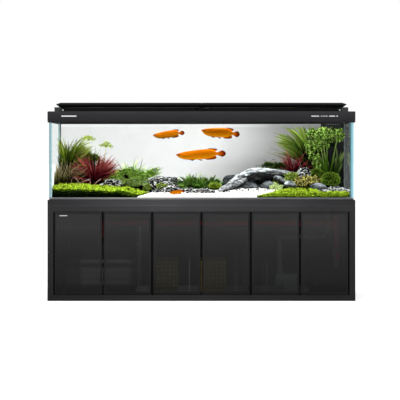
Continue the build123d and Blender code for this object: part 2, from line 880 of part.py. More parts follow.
pipe_end = outlet_top - outlet_socket
return_run_height = frame_height - return_run_below_frame
return_points = (
    (return_x, overflow_front - nozzle_reach, nozzle_height),
    (return_x, return_y, nozzle_height),
    (return_x, return_y, return_run_height),
    (outlet_x, return_y, return_run_height),
    (outlet_x, 0, return_run_height),
    (outlet_x, 0, pipe_end),
)
with BuildPart() as return_pipe:
    with BuildLine() as return_route:
        FilletPolyline(*return_points, radius=pipe_bend)
    with BuildSketch(Plane(return_points[0], z_dir=(0, 1, 0))):
        pipe_profile(pipe_radius)
    sweep(path=return_route.wire())
    for z, align in ((floor_top, low), (frame_height, high)):
        with BuildSketch(Plane((return_x, return_y, z))):
            Circle(flange_radius)
            Circle(pipe_radius - pipe_wall, mode=Mode.SUBTRACT)
        extrude(amount=flange_thickness if align == low else -flange_thickness)
write(return_pipe, "return_pipe")

standpipe_top = glass_top - standpipe_below_rim
valve_height = frame_height - valve_below_frame
valve_top = valve_height + valve_body_length / 2
drain_run_height = frame_height - drain_run_below_frame
drain_outlet_height = profile + sump_high_height - drain_outlet_in_sump
drain_points = (
    (drain_x, drain_y, drain_run_height),
    (tray_x, drain_y, drain_run_height),
    (tray_x, 0, drain_run_height),
    (tray_x, 0, drain_outlet_height),
)
with BuildPart() as drain_pipe:
    with BuildLine() as drain_route:
        FilletPolyline(*drain_points, radius=pipe_bend)
    with BuildSketch(Plane(drain_points[0], z_dir=(-1, 0, 0))):
        Circle(pipe_radius)
    sweep(path=drain_route.wire())
    with Locations((drain_x, drain_y, valve_top)):
        Cylinder(pipe_radius, standpipe_top - valve_top, align=low)
    with Locations((drain_x, drain_y, drain_run_height)):
        Cylinder(pipe_radius + sleeve_extra, tee_length)
    with Locations(Location((drain_x, drain_y, drain_run_height), (0, -90, 0))):
        Cylinder(pipe_radius + sleeve_extra, sleeve_length, align=low)
    with Locations((drain_x, drain_y, floor_top)):
        Cylinder(flange_radius, flange_thickness, align=low)
    with Locations((drain_x, drain_y, frame_height)):
        Cylinder(flange_radius, flange_thickness, align=high)
    with BuildSketch(Plane(drain_points[0], z_dir=(-1, 0, 0))):
        Circle(pipe_radius - pipe_wall)
    sweep(path=drain_route.wire(), mode=Mode.SUBTRACT)
    with Locations((drain_x, drain_y, valve_top)):
        Cylinder(pipe_radius - pipe_wall, standpipe_top - valve_top, align=low, mode=Mode.SUBTRACT)
write(drain_pipe, "drain_pipe")

# Ball valve at the foot of the drain, with a capped tail and a lever at the front
socket_radius = pipe_radius + seat_clearance + valve_socket_wall
valve_bottom = valve_height - valve_body_length / 2
boss_front = valve_body_radius + stem_boss_length
bore_length = valve_body_length + valve_tail_length / 2
with BuildPart() as valve_body:
    with Locations((drain_x, drain_y, valve_height)):
        Cylinder(valve_body_radius, valve_body_length)
    fillet(valve_body.edges().filter_by(GeomType.CIRCLE), valve_edge_radius)
    with Locations((drain_x, drain_y, valve_height)):
        Cylinder(socket_radius, valve_body_length / 2 + valve_socket_length, align=low)
        Cylinder(pipe_radius, valve_body_length / 2 + valve_tail_length, align=high)
    with Locations((drain_x, drain_y, valve_bottom - valve_tail_length)):
        Cylinder(socket_radius, valve_socket_length, align=low)
    with Locations(Location((drain_x, drain_y, valve_height), (90, 0, 0))):
        Cylinder(stem_boss_radius, boss_front, align=low)
    with Locations((drain_x, drain_y, valve_top)):
        Cylinder(pipe_radius + seat_clearance, valve_socket_length, align=low, mode=Mode.SUBTRACT)
        Cylinder(pipe_radius - pipe_wall, bore_length, align=high, mode=Mode.SUBTRACT)
    with Locations(Location((drain_x, drain_y - boss_front, valve_height), (90, 0, 0))):
        Cylinder(
            stem_radius + running_clearance,
            stem_bite + bore_spare_depth,
            align=high,
            mode=Mode.SUBTRACT,
        )
write(valve_body, "valve_body")

lever_place = (drain_x, drain_y - boss_front - seat_clearance, valve_height)
lever_plane = Plane(lever_place, x_dir=(1, 0, 0), z_dir=(0, -1, 0))
with BuildPart() as valve_handle:
    with BuildSketch(lever_plane):
        Circle(stem_radius)
    extrude(amount=-(stem_bite + seat_clearance))
    with BuildSketch(lever_plane):
        SlotOverall(lever_length, lever_width, rotation=90)
        Circle(lever_hub_radius)
    extrude(amount=lever_thickness)
    fillet(valve_handle.faces().sort_by(Axis.Y)[0].edges(), lever_edge_radius)
write(valve_handle, "valve_handle")

# Ground of the tank: sand in the middle, a soil bank under a carpet at each end
tank_left = -inner_length / 2
tank_right = inner_length / 2
tank_near = -inner_depth / 2
tank_far = inner_depth / 2
ground_height = tank_height / 2
sand_slope = (sand_rear - sand_front) / inner_depth
planting_fit = inner_length / planting_length


def sand_level(y):
    """The height of the sand at a distance from the front."""
    return floor_top + sand_front + sand_slope * (y - tank_near)


def bank_region(wall, front_length, rear_length, bulge):
    """The ground plan of a bank against an end wall, as a tall prism."""
    inwards = planting_fit if wall < 0 else -planting_fit
    near_corner = (wall + inwards * front_length, tank_near)
    far_corner = (wall + inwards * rear_length, tank_far)
    middle_x = (near_corner[0] + far_corner[0]) / 2 + inwards * bulge
    with BuildPart() as region:
        with BuildSketch(Plane.XY.offset(floor_top)):
            with BuildLine():
                ThreePointArc(near_corner, (middle_x, 0), far_corner)
                Polyline(far_corner, (wall, tank_far), (wall, tank_near), near_corner)
            make_face()
        extrude(amount=ground_height)
    return region


def ground_layer(section, region):
    """A layer with a section in Y and Z, kept inside a ground plan and clear of the overflow box."""
    with BuildPart() as layer:
        with BuildSketch(Plane.YZ.offset(tank_left)):
            with BuildLine():
                Polyline(*section, close=True)
            make_face()
        extrude(amount=inner_length)
        add(region.part, mode=Mode.INTERSECT)
        with Locations((overflow_left, overflow_front, floor_top)):
            Box(
                overflow_length,
                overflow_depth,
                ground_height,
                align=(Align.MIN, Align.MIN, Align.MIN),
                mode=Mode.SUBTRACT,
            )
    return layer


def bank_section(front, terrace, slope):
    """A bank's section: up at the front glass, along a slope, then level to the back glass."""
    return (
        (tank_near, floor_top),
        (tank_near, floor_top + front),
        (tank_near + slope, floor_top + terrace),
        (tank_far, floor_top + terrace),
        (tank_far, floor_top),
    )


def carpet_section(front, terrace, slope):
    """A carpet lying on a bank's slope."""
    return (
        (tank_near, floor_top + front),
        (tank_near, floor_top + front + carpet_thickness),
        (tank_near + slope, floor_top + terrace + carpet_thickness),
        (tank_near + slope, floor_top + terrace),
    )


left_region = bank_region(tank_left, left_bank_front_length, left_bank_rear_length, left_bank_bulge)
right_region = bank_region(tank_right, right_bank_front_length, right_bank_rear_length, right_bank_bulge)
left_bank = (left_bank_front, left_bank_terrace, left_bank_slope)
right_bank = (right_bank_front, right_bank_terrace, right_bank_slope)
left_soil = ground_layer(bank_section(*left_bank), left_region)
right_soil = ground_layer(bank_section(*right_bank), right_region)
left_carpet = ground_layer(carpet_section(*left_bank), left_region)
right_carpet = ground_layer(carpet_section(*right_bank), right_region)

with BuildPart() as soil_banks:
    add(left_soil.part)
    add(right_soil.part)
write(soil_banks, "soil_banks")

with BuildPart() as carpets:
    add(left_carpet.part)
    add(right_carpet.part)
write(carpets, "carpets")

with BuildPart() as sand_bed:
    with BuildSketch(Plane.YZ.offset(tank_left)):
        with BuildLine():
            Polyline(
                (tank_near, floor_top),
                (tank_near, sand_level(tank_near)),
                (tank_far, sand_level(tank_far)),
                (tank_far, floor_top),
                close=True,
            )
        make_face()
    extrude(amount=inner_length)
    add(left_region.part, mode=Mode.SUBTRACT)
    add(right_region.part, mode=Mode.SUBTRACT)
write(sand_bed, "sand_bed")

left_terrace = floor_top + left_bank_terrace
right_terrace = floor_top + right_bank_terrace


def planted(x, y, ground, lift=0):
    """A place of the planting plan, fitted to the tank. ground is "left", "right" or "sand"."""
    fitted_x = x * planting_fit
    fitted_y = y * inner_depth / planting_depth
    levels = {"left": left_terrace, "right": right_terrace, "sand": sand_level(fitted_y)}
    return (fitted_x, fitted_y, levels[ground] + lift)


# Stones: place along X and Y, ground, length, width, height
stone_plan = (
    (-590, -78, "left", 140, 66, 50),
    (-215, -40, "sand", 160, 80, 45),
    (-200, 150, "sand", 150, 90, 76),
    (-105, -70, "sand", 46, 34, 20),
    (215, 175, "sand", 120, 80, 85),
    (327, 40, "sand", 118, 80, 54),
    (452, 40, "sand", 104, 76, 62),
    (591, -60, "right", 80, 50, 42),
    (697, 0, "right", 92, 78, 138),
    (781, -72, "right", 104, 40, 40),
)
with BuildPart() as stones:
    for x, y, ground, length, width, height in stone_plan:
        tilt = sand_slope if ground == "sand" else 0
        seat = Plane(planted(x, y, ground), x_dir=(1, 0, 0), z_dir=(0, -tilt, 1))
        for share, level in stone_sections:
            with BuildSketch(seat.offset(level * height)):
                Ellipse(share * length / 2, share * width / 2)
        loft()
write(stones, "stones")

# Driftwood, an arch from the sand to the right bank: place, ground, height and radius along its middle line
arch_plan = (
    (118, -26, "sand", -6, 13),
    (182, -14, "sand", 30, 24),
    (262, 8, "sand", 84, 29),
    (352, 30, "sand", 116, 31),
    (450, 46, "sand", 116, 30),
    (560, 66, "sand", 104, 27),
    (656, 90, "right", 66, 25),
    (692, 104, "right", -12, 24),
)
arch_line = [Vector(*planted(x, y, ground, lift)) for x, y, ground, lift, radius in arch_plan]
with BuildPart() as driftwood:
    for n, place in enumerate(arch_line):
        along = arch_line[min(n + 1, len(arch_line) - 1)] - arch_line[max(n - 1, 0)]
        with BuildSketch(Plane(place, x_dir=(0, 1, 0), z_dir=along)):
            Circle(arch_plan[n][-1])
    loft()
    add(sand_bed.part, mode=Mode.SUBTRACT)
    add(soil_banks.part, mode=Mode.SUBTRACT)
write(driftwood, "driftwood")


# Plants
def leaf_plants(plan):
    """Clumps of curved leaves on a crown: place, ground, crown radius, reach, height and leaf count."""
    with BuildPart() as group:
        for x, y, ground, crown, reach, height, count in plan:
            foot = planted(x, y, ground)
            root = crown / 2
            width = crown / 2
            with Locations(foot):
                Cylinder(crown, crown_height, align=low)
            for leaf in range(count):
                turn = 2 * pi * leaf / count
                share = leaf_shortest + (1 - leaf_shortest) * (leaf * leaf_order % 1)
                tip = (reach * (leaf_spread - share * leaf_upright), height * share)
                belly = (root + (tip[0] - root) * leaf_belly_out, tip[1] * leaf_belly_up)
                radial = Plane(foot, x_dir=(cos(turn), sin(turn), 0), z_dir=(sin(turn), -cos(turn), 0))
                with BuildSketch(radial):
                    with BuildLine():
                        ThreePointArc((root, 1), belly, tip)
                        ThreePointArc(tip, (belly[0] + width, belly[1] - width), (root + width, 1))
                        Line((root + width, 1), (root, 1))
                    make_face()
                extrude(amount=leaf_thickness / 2, both=True)
    return group


tall_plants = leaf_plants(
    (
        (-885, 110, "left", 22, 84, 320, 9),
        (760, 212, "right", 22, 68, 400, 8),
    )
)
write(tall_plants, "tall_plants")

red_plants = leaf_plants(
    (
        (-712, 12, "left", 24, 108, 220, 11),
        (602, 200, "right", 20, 78, 185, 9),
    )
)
write(red_plants, "red_plants")

# Bushes and moss mounds: place, ground, foot radius, radius, stem height, height
bush_plan = (
    (-772, 205, "left", 28, 54, 40, 255),
    (-470, 90, "left", 70, 108, 0, 150),
    (-15, 176, "sand", 60, 74, 0, 96),
    (97, 62, "sand", 36, 43, 0, 46),
    (846, 22, "right", 20, 66, 170, 395),
    (786, 4, "right", 34, 42, 0, 132),
    (882, -56, "right", 34, 42, 0, 108),
)
with BuildPart() as bushes:
    for x, y, ground, foot, radius, stem, height in bush_plan:
        sunk = sand_slope * foot if ground == "sand" else 0
        place = planted(x, y, ground, -sunk)
        with BuildSketch(Plane(place, x_dir=(1, 0, 0), z_dir=(0, -1, 0))):
            with BuildLine():
                Polyline((bush_flat, height), (0, height), (0, 0), (foot, 0), (foot, stem + 1))
                Spline(
                    (foot, stem + 1),
                    (radius, stem + bush_widest * (height - stem)),
                    (bush_flat, height),
                    tangents=((1, 1), (-1, 0)),
                )
            make_face()
        revolve(axis=Axis(place, (0, 0, 1)))
    add(sand_bed.part, mode=Mode.SUBTRACT)
write(bushes, "bushes")
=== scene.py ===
import math
import random

import bmesh
import bpy
from mathutils import Matrix, Vector, noise


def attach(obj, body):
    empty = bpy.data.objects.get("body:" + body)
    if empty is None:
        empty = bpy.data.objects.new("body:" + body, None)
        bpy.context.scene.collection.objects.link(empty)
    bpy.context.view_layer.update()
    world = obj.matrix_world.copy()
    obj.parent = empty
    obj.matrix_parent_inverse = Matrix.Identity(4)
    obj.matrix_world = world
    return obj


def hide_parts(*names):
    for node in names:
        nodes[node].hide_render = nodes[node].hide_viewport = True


# An aquarium on its stand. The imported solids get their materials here, and the tank gets its planting, fish and water.

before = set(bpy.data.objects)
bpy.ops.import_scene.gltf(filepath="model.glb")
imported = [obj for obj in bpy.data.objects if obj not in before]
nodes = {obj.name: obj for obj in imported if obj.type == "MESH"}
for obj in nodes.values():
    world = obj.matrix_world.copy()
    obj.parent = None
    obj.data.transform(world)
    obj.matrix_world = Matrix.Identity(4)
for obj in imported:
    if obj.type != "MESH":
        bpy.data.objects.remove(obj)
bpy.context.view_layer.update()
scene = bpy.context.scene

# Places repeated from the part's source, in metres
TANK_LEFT, TANK_RIGHT = -0.978, 0.978
TANK_NEAR, TANK_FAR = -0.278, 0.278
TANK_FLOOR = 0.672
LEFT_TERRACE = 0.738
RIGHT_TERRACE = 0.725
OVERFLOW_LEFT, OVERFLOW_FRONT = 0.838, 0.128
WATER_LEVEL = 1.138
SAND_FRONT, SAND_REAR = 0.678, 0.734
STAND_FRONT = -0.300

UP = Vector((0, 0, 1))
WHITE = (1, 1, 1, 1)


# Colour and node helpers
def srgb(red, green, blue):
    """A colour given as 0 to 255 values, as Blender's linear colour."""
    linear = []
    for value in (red, green, blue):
        share = value / 255
        linear.append(share / 12.92 if share <= 0.04045 else ((share + 0.055) / 1.055) ** 2.4)
    return (*linear, 1.0)


def grey(tone):
    """A linear colour with one tone."""
    return (tone, tone, tone, 1)


def shade_of(colour, share):
    """A colour made lighter or darker by a share."""
    return (*(value * share for value in colour[:3]), 1.0)


def new_material(name, colour, roughness=0.5, metallic=0.0, specular=0.5):
    """A material with one Principled shader."""
    mat = bpy.data.materials.new(name)
    mat.use_nodes = True
    shader = mat.node_tree.nodes["Principled BSDF"]
    shader.inputs["Base Color"].default_value = colour
    shader.inputs["Roughness"].default_value = roughness
    shader.inputs["Metallic"].default_value = metallic
    shader.inputs["Specular IOR Level"].default_value = specular
    return mat, shader


def add_node(mat, kind, inputs=None, **settings):
    """A node of the material, with settings and input values."""
    made = mat.node_tree.nodes.new(kind)
    for key, value in settings.items():
        setattr(made, key, value)
    for key, value in (inputs or {}).items():
        made.inputs[key].default_value = value
    return made


def join(mat, output, target):
    """Links two sockets of the material."""
    mat.node_tree.links.new(output, target)


def feed(mat, value, target):
    """Links a socket to an input, or sets a plain value on it."""
    if isinstance(value, bpy.types.NodeSocket):
        join(mat, value, target)
    else:
        target.default_value = value


def place_of(mat):
    """The socket with the place on the object, in metres."""
    return add_node(mat, "ShaderNodeTexCoord").outputs["Object"]


def noise_of(mat, scale, detail=4.0, roughness=0.6, stretch=(1, 1, 1)):
    """The grey socket of a noise pattern, stretched along the axes."""
    mapping = add_node(mat, "ShaderNodeMapping", {"Scale": stretch})
    join(mat, place_of(mat), mapping.inputs["Vector"])
    made = add_node(mat, "ShaderNodeTexNoise", {"Scale": scale, "Detail": detail, "Roughness": roughness})
    join(mat, mapping.outputs["Vector"], made.inputs["Vector"])
    return made.outputs["Fac"]


def ramp_of(mat, source, stops):
    """The colour socket of a ramp. stops are (position, colour)."""
    made = add_node(mat, "ShaderNodeValToRGB")
    elements = made.color_ramp.elements
    while len(elements) < len(stops):
        elements.new(0.5)
    for element, (position, colour) in zip(elements, stops):
        element.position = position
        element.color = colour
    join(mat, source, made.inputs["Fac"])
    return made.outputs["Color"]


def add_bump(mat, shader, height, strength, distance):
    """Roughens the surface by a height socket."""
    made = add_node(mat, "ShaderNodeBump", {"Strength": strength, "Distance": distance})
    join(mat, height, made.inputs["Height"])
    join(mat, made.outputs["Normal"], shader.inputs["Normal"])


def map_range(mat, source, low, high, new_low, new_high):
    """A socket moved from one range to another."""
    ranges = {"From Min": low, "From Max": high, "To Min": new_low, "To Max": new_high}
    made = add_node(mat, "ShaderNodeMapRange", ranges)
    join(mat, source, made.inputs["Value"])
    return made.outputs["Result"]


def axis_of(mat, axis):
    """The socket of one coordinate of the place on the object."""
    made = add_node(mat, "ShaderNodeSeparateXYZ")
    join(mat, place_of(mat), made.inputs["Vector"])
    return made.outputs[axis]


def normal_axis(mat, axis):
    """The socket of one coordinate of the surface's direction."""
    made = add_node(mat, "ShaderNodeSeparateXYZ")
    join(mat, add_node(mat, "ShaderNodeNewGeometry").outputs["Normal"], made.inputs["Vector"])
    return made.outputs[axis]


def grazing(mat):
    """A socket that is 0 where the surface faces the viewer and 1 where it is seen edge-on."""
    return add_node(mat, "ShaderNodeLayerWeight", {"Blend": 0.5}).outputs["Facing"]


def attribute_of(mat, name):
    """The grey socket of a mesh attribute."""
    return add_node(mat, "ShaderNodeAttribute", attribute_name=name).outputs["Fac"]


def maths(mat, operation, first, second=0.0):
    """The socket of a sum, product or the like of sockets and values."""
    made = add_node(mat, "ShaderNodeMath", operation=operation)
    feed(mat, first, made.inputs[0])
    feed(mat, second, made.inputs[1])
    return made.outputs["Value"]


def scaled_by(mat, colour, share):
    """The socket of a colour made lighter or darker by a share that is a socket or a value."""
    made = add_node(mat, "ShaderNodeVectorMath", operation="SCALE")
    join(mat, colour, made.inputs[0])
    feed(mat, share, made.inputs["Scale"])
    return made.outputs["Vector"]


def mix_of(mat, share, first, second, blend="MIX"):
    """The colour socket of a mix. share, first and second are sockets or values."""
    made = add_node(mat, "ShaderNodeMix", data_type="RGBA", blend_type=blend)
    for value, place in ((share, 0), (first, 6), (second, 7)):
        feed(mat, value, made.inputs[place])
    return made.outputs[2]


def mix_shaders(mat, share, first, second):
    """The shader socket of a mix. share is a socket or a value."""
    made = add_node(mat, "ShaderNodeMixShader")
    for place, value in enumerate((share, first, second)):
        feed(mat, value, made.inputs[place])
    return made.outputs["Shader"]


def show(mat, surface):
    """Makes a shader socket the material's surface."""
    join(mat, surface, mat.node_tree.nodes["Material Output"].inputs["Surface"])


def paint(mat, shader, tone):
    """Gives the surface the colour of a socket."""
    join(mat, tone, shader.inputs["Base Color"])


def add_glow(mat, shader, tone, strength):
    """Makes the surface give off light of a tone, by a strength that is a socket or a value."""
    join(mat, tone, shader.inputs["Emission Color"])
    feed(mat, strength, shader.inputs["Emission Strength"])


def graded(mat, colour, shades):
    """A colour made lighter or darker along axes. shades maps an axis to (place in metres, share) stops."""
    for axis, stops in shades.items():
        low, high = stops[0][0], stops[-1][0]
        place = map_range(mat, axis_of(mat, axis), low, high, 0, 1)
        tones = [((at - low) / (high - low), grey(share)) for at, share in stops]
        colour = mix_of(mat, 1.0, colour, ramp_of(mat, place, tones), "MULTIPLY")
    return colour


def see_through(mat, shader, share, tint):
    """Lets part of the light straight through the surface, by a share that is a socket or a value."""
    clear = add_node(mat, "ShaderNodeBsdfTransparent")
    smudges = ramp_of(mat, noise_of(mat, 6.0, 3.0), ((0.3, shade_of(tint, 0.985)), (0.7, tint)))
    join(mat, smudges, clear.inputs["Color"])
    surface = mix_shaders(mat, share, shader.outputs["BSDF"], clear.outputs["BSDF"])
    show(mat, surface)
    return surface


# Materials of the stand, the tank and the hood
LAMP_POWER = 26.0
SMOKE_CLEAR = 0.55
SMOKE_FOOT, SMOKE_HEAD = 0.04, 0.58
# Glow of the smoked doors by height: a painted sheen, lighter towards the top
SMOKE_SHEEN_TONES = (
    (0.013, 0.0147), (0.074, 0.0182), (0.194, 0.0256), (0.303, 0.0278), (0.4235, 0.0302), (0.58, 0.0378),
    (0.725, 0.046), (0.81, 0.0558), (0.954, 0.0558),
)
DOOR_PITCH = 0.32
# Door frames: painted shade towards the bottom
DOOR_SHADES = {"Z": ((0.04, 0.45), (0.3, 0.8), (0.58, 1.0))}
# Rails and posts: a painted sheen, lightest left of the middle, with painted shade towards the ends and the bottom
FRONT_SHADES = {
    "X": ((-1, 0.5), (-0.66, 0.68), (-0.3, 1.0), (0, 0.97), (0.64, 0.62), (1, 0.5)),
    "Z": ((0, 0.4), (0.05, 0.48), (0.33, 0.66), (0.6, 1.0)),
}
# Deck: the same painted sheen along X, with a painted highlight along its lower edge
DECK_SHADES = {
    "X": ((-1, 0.38), (-0.9, 0.43), (-0.34, 1.0), (0, 0.88), (0.64, 0.56), (0.9, 0.4), (1, 0.36)),
    "Z": ((0.618, 1.6), (0.6205, 1.5), (0.6225, 1.0), (0.657, 1.0)),
}
# Filter trays: painted highlights on their lips and painted shade between them, and painted shade beyond X -0.785 to
# -0.475
TRAY_SHADES = {
    "X": ((-0.92, 0.25), (-0.80, 0.25), (-0.785, 1.0), (-0.475, 1.0), (-0.46, 0.3)),
    "Z": (
        (0.046, 0.15), (0.090, 0.15), (0.096, 0.8), (0.116, 0.9), (0.120, 0.4), (0.146, 0.7), (0.152, 0.95),
        (0.162, 0.5), (0.186, 0.9), (0.203, 0.8), (0.207, 0.12), (0.232, 0.12), (0.237, 1.0), (0.256, 1.0),
        (0.260, 0.1), (0.347, 0.1),
    ),
}
# Hood: painted shade towards its bottom
HOOD_SHADES = {"Z": ((1.159, 0.35), (1.166, 0.5), (1.2, 0.68), (1.226, 1.0))}
# Rim: its dark tone is painted shade under the lids, many times lighter at its end blocks
RIM_SHADES = {"X": ((-0.96, 8), (-0.912, 7), (-0.905, 1), (0.905, 1), (0.912, 7), (0.96, 8))}
# Lids: painted shade on the lower bevel of their front edge
LID_SHADES = {"Z": ((1.262, 0.35), (1.272, 0.5), (1.2745, 1.0), (1.29, 1.0))}
GLASS_BODY = (0.7, 0.85, 0.88, 1)
GLASS_TINT = (0.99, 0.995, 0.993, 1)
END_TINT = (0.93, 0.95, 0.945, 1)
EDGE_BLUE = ((0, srgb(120, 170, 180)), (0.5, srgb(120, 125, 128)), (1, srgb(170, 220, 232)))
# Edges of the floor, sump and baffle panes: grey with a painted highlight left of the middle
EDGE_GREY = ((0, srgb(90, 92, 94)), (0.33, srgb(150, 150, 150)), (0.65, srgb(100, 101, 103)), (1, srgb(85, 87, 89)))
BAND_TONES = (
    (0.005, srgb(74, 118, 126)), (0.0125, srgb(150, 190, 196)), (0.5, srgb(200, 220, 222)),
    (0.984, srgb(50, 92, 96)), (0.9865, srgb(96, 148, 160)), (0.995, srgb(150, 200, 212)),
)
BAND_SHARES = ((0.0, 0.92), (0.011, 0.8), (0.0135, 0.0), (0.9835, 0.0), (0.985, 0.9), (1.0, 0.92))


def satin_material(
    name, tone, roughness, grain=900.0, strength=0.12, drift=0.1, specular=0.12, shades=None, pitch=0.0, glow=0.0
):
    """Coated metal or moulded plastic: a fine grain and a slow drift of tone. shades paint light and shade along axes,
    pitch paints shadow at steps along X, glow gives off painted light.
    """
    colour = srgb(*tone)
    mat, shader = new_material(name, colour, roughness, specular=specular)
    stops = ((0.3, shade_of(colour, 1 - drift)), (0.7, shade_of(colour, 1 + drift)))
    tone = graded(mat, ramp_of(mat, noise_of(mat, 3.0, 3.0), stops), shades or {})
    # Painted shadow: thin black bands at each step along X, where the gaps between the doors fall
    if pitch:
        away = maths(mat, "PINGPONG", axis_of(mat, "X"), pitch / 2)
        tone = mix_of(mat, map_range(mat, away, 0.005, 0.009, 0.92, 0.0), tone, grey(0.0))
    paint(mat, shader, tone)
    if glow:
        add_glow(mat, shader, tone, glow)
    worn = map_range(mat, noise_of(mat, 40.0), 0, 1, roughness - 0.06, roughness + 0.06)
    join(mat, worn, shader.inputs["Roughness"])
    add_bump(mat, shader, noise_of(mat, grain, 2.0), strength, 0.0004)
    return mat


def board_material(name, tone, roughness):
    """Laminated board with a faint grain along its length."""
    colour = srgb(*tone)
    mat, shader = new_material(name, colour, roughness, specular=0.15)
    streaks = noise_of(mat, 30.0, 5.0, stretch=(0.15, 3, 3))
    stops = ((0.35, shade_of(colour, 0.8)), (0.65, shade_of(colour, 1.2)))
    paint(mat, shader, ramp_of(mat, streaks, stops))
    add_bump(mat, shader, streaks, 0.1, 0.0005)
    return mat


def metal_material(name, colour, roughness):
    """Brushed metal."""
    mat, shader = new_material(name, colour, roughness, metallic=1.0)
    add_bump(mat, shader, noise_of(mat, 400.0, 2.0, stretch=(0.1, 1, 1)), 0.15, 0.0003)
    return mat


def pane_material(name, edge_stops, thin_axes, mirror=False, glow=0.0, tint=GLASS_TINT):
    """Clear glass whose narrow faces, which look along thin_axes, show a tinted edge. mirror is for the end panes. glow
    makes it give off painted light in its edge tone.
    """
    mat, shader = new_material(name, GLASS_BODY, 0.03)
    edge = ramp_of(mat, map_range(mat, axis_of(mat, "X"), -1, 1, 0, 1), edge_stops)
    paint(mat, shader, edge)
    if glow:
        add_glow(mat, shader, edge, glow)
    on_edge = maths(mat, "ABSOLUTE", normal_axis(mat, thin_axes[0]))
    for axis in thin_axes[1:]:
        on_edge = maths(mat, "MAXIMUM", on_edge, maths(mat, "ABSOLUTE", normal_axis(mat, axis)))
    clear = map_range(mat, on_edge, 0.05, 1.0, 1.0, 0.275)
    surface = see_through(mat, shader, clear, tint)
    if mirror:
        glossy = add_node(mat, "ShaderNodeBsdfGlossy", {"Color": (0.8, 0.86, 0.83, 1), "Roughness": 0.06})
        edge_on = map_range(mat, grazing(mat), 0.8, 0.86, 0, 0.72)
        inner = maths(mat, "LESS_THAN", normal_axis(mat, "X"), -0.9)
        right = maths(mat, "GREATER_THAN", axis_of(mat, "X"), 0.9)
        share = maths(mat, "MULTIPLY", maths(mat, "MULTIPLY", inner, right), edge_on)
        show(mat, mix_shaders(mat, share, surface, glossy.outputs["BSDF"]))
    return mat


def front_pane_material():
    """Clear glass with tinted bands where the end panes are bonded behind it."""
    mat, shader = new_material("glass_front", GLASS_BODY, 0.05)
    along = map_range(mat, axis_of(mat, "X"), -1, 1, 0, 1)
    paint(mat, shader, ramp_of(mat, along, BAND_TONES))
    band = ramp_of(mat, along, [(at, grey(share)) for at, share in BAND_SHARES])
    top = maths(mat, "MULTIPLY", maths(mat, "ABSOLUTE", normal_axis(mat, "Z")), 0.7)
    share = maths(mat, "MAXIMUM", band, top)
    see_through(mat, shader, maths(mat, "SUBTRACT", 1.0, share), GLASS_TINT)
    return mat


def smoked_glass_material():
    """Dark glass that lets the inside of the stand show dimly. It glows with a painted sheen, a painted reflection that
    is a little lighter towards the top.
    """
    mat, shader = new_material("smoked_glass", grey(0.001), 0.12, specular=0.0)
    height = map_range(mat, axis_of(mat, "Z"), SMOKE_FOOT, SMOKE_HEAD, 0, 1)
    tone = ramp_of(mat, height, [(at, grey(share)) for at, share in SMOKE_SHEEN_TONES])
    cloud = map_range(mat, noise_of(mat, 2.5, 2.0), 0.3, 0.7, 0.94, 1.06)
    add_glow(mat, shader, scaled_by(mat, tone, cloud), 1.0)
    surface = see_through(mat, shader, SMOKE_CLEAR, grey(0.9))
    glossy = add_node(mat, "ShaderNodeBsdfGlossy", {"Color": grey(0.5), "Roughness": 0.08})
    gloss = map_range(mat, grazing(mat), 0.45, 1.0, 0, 0.3)
    show(mat, mix_shaders(mat, gloss, surface, glossy.outputs["BSDF"]))
    return mat


def lamp_material():
    """Opal diffuser that lights the tank from its underside."""
    mat, shader = new_material("lamp_white", (0.9, 0.92, 0.95, 1), 0.6)
    tone = ramp_of(mat, noise_of(mat, 60.0, 2.0), ((0.3, (0.96, 0.98, 1, 1)), (0.7, WHITE)))
    add_glow(mat, shader, tone, map_range(mat, normal_axis(mat, "Z"), -0.9, -0.6, LAMP_POWER, 0.0))
    return mat


def dress(wearers, mat):
    """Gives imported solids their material. wearers are names with spaces between them."""
    for node in wearers.split():
        nodes[node].data.materials.clear()
        nodes[node].data.materials.append(mat)


def coat(wearers, name, tone, roughness, **settings):
    """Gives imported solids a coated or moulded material."""
    dress(wearers, satin_material(name, tone, roughness, **settings))


pin_steel = metal_material("pin_steel", grey(0.6), 0.3)
DOOR_FRAMES, DOOR_PANES = (" ".join(f"door_{n}_{part}" for n in range(1, 7)) for part in ("frame", "glass"))

coat("front_rails rear_rails side_rails corner_posts mid_posts", "frame_black", (50, 50, 52), 0.5, shades=FRONT_SHADES)
dress("side_panels back_panel base_panel", board_material("panel_black", (34, 34, 36), 0.55))
coat("deck", "deck_black", (55, 55, 57), 0.5, shades=DECK_SHADES)
coat("levelling_mat", "mat_black", (28, 28, 28), 0.9, grain=300, strength=0.5)
# Door frames: painted shade towards the bottom, painted shadow along the gaps between the doors
coat(DOOR_FRAMES, "door_black", (36, 36, 37), 0.5, specular=0.05, shades=DOOR_SHADES, pitch=DOOR_PITCH)
dress(DOOR_PANES, smoked_glass_material())
coat("door_pivots door_catches", "catch_black", (40, 40, 40), 0.5)
coat("hood_frame", "hood_black", (39, 38, 41), 0.5, shades=HOOD_SHADES)
# The rim's dark tone is painted shade under the lids
coat("hood_rim", "rim_black", (17, 18, 18), 0.55, specular=0.05, shades=RIM_SHADES)
coat("lid_left lid_right", "lid_black", (26, 27, 27), 0.6, specular=0.03, shades=LID_SHADES)
coat("control_panel", "control_black", (30, 30, 32), 0.3, strength=0.02)
dress("lid_hinge_pins", pin_steel)
dress("lamp_housing_left lamp_housing_right", metal_material("lamp_aluminium", (0.05, 0.05, 0.052, 1), 0.45))
dress("lamp_diffuser_left lamp_diffuser_right", lamp_material())
dress("tank_front", front_pane_material())
dress("tank_back tank_braces", pane_material("glass_upright", EDGE_BLUE, ("Z",)))
dress("tank_ends", pane_material("glass_ends", EDGE_BLUE, ("Y", "Z"), mirror=True, tint=END_TINT))
dress("tank_floor", pane_material("glass_floor", EDGE_GREY, ("X", "Y")))
coat("overflow_box", "overflow_black", (22, 24, 22), 0.5, specular=0.03)
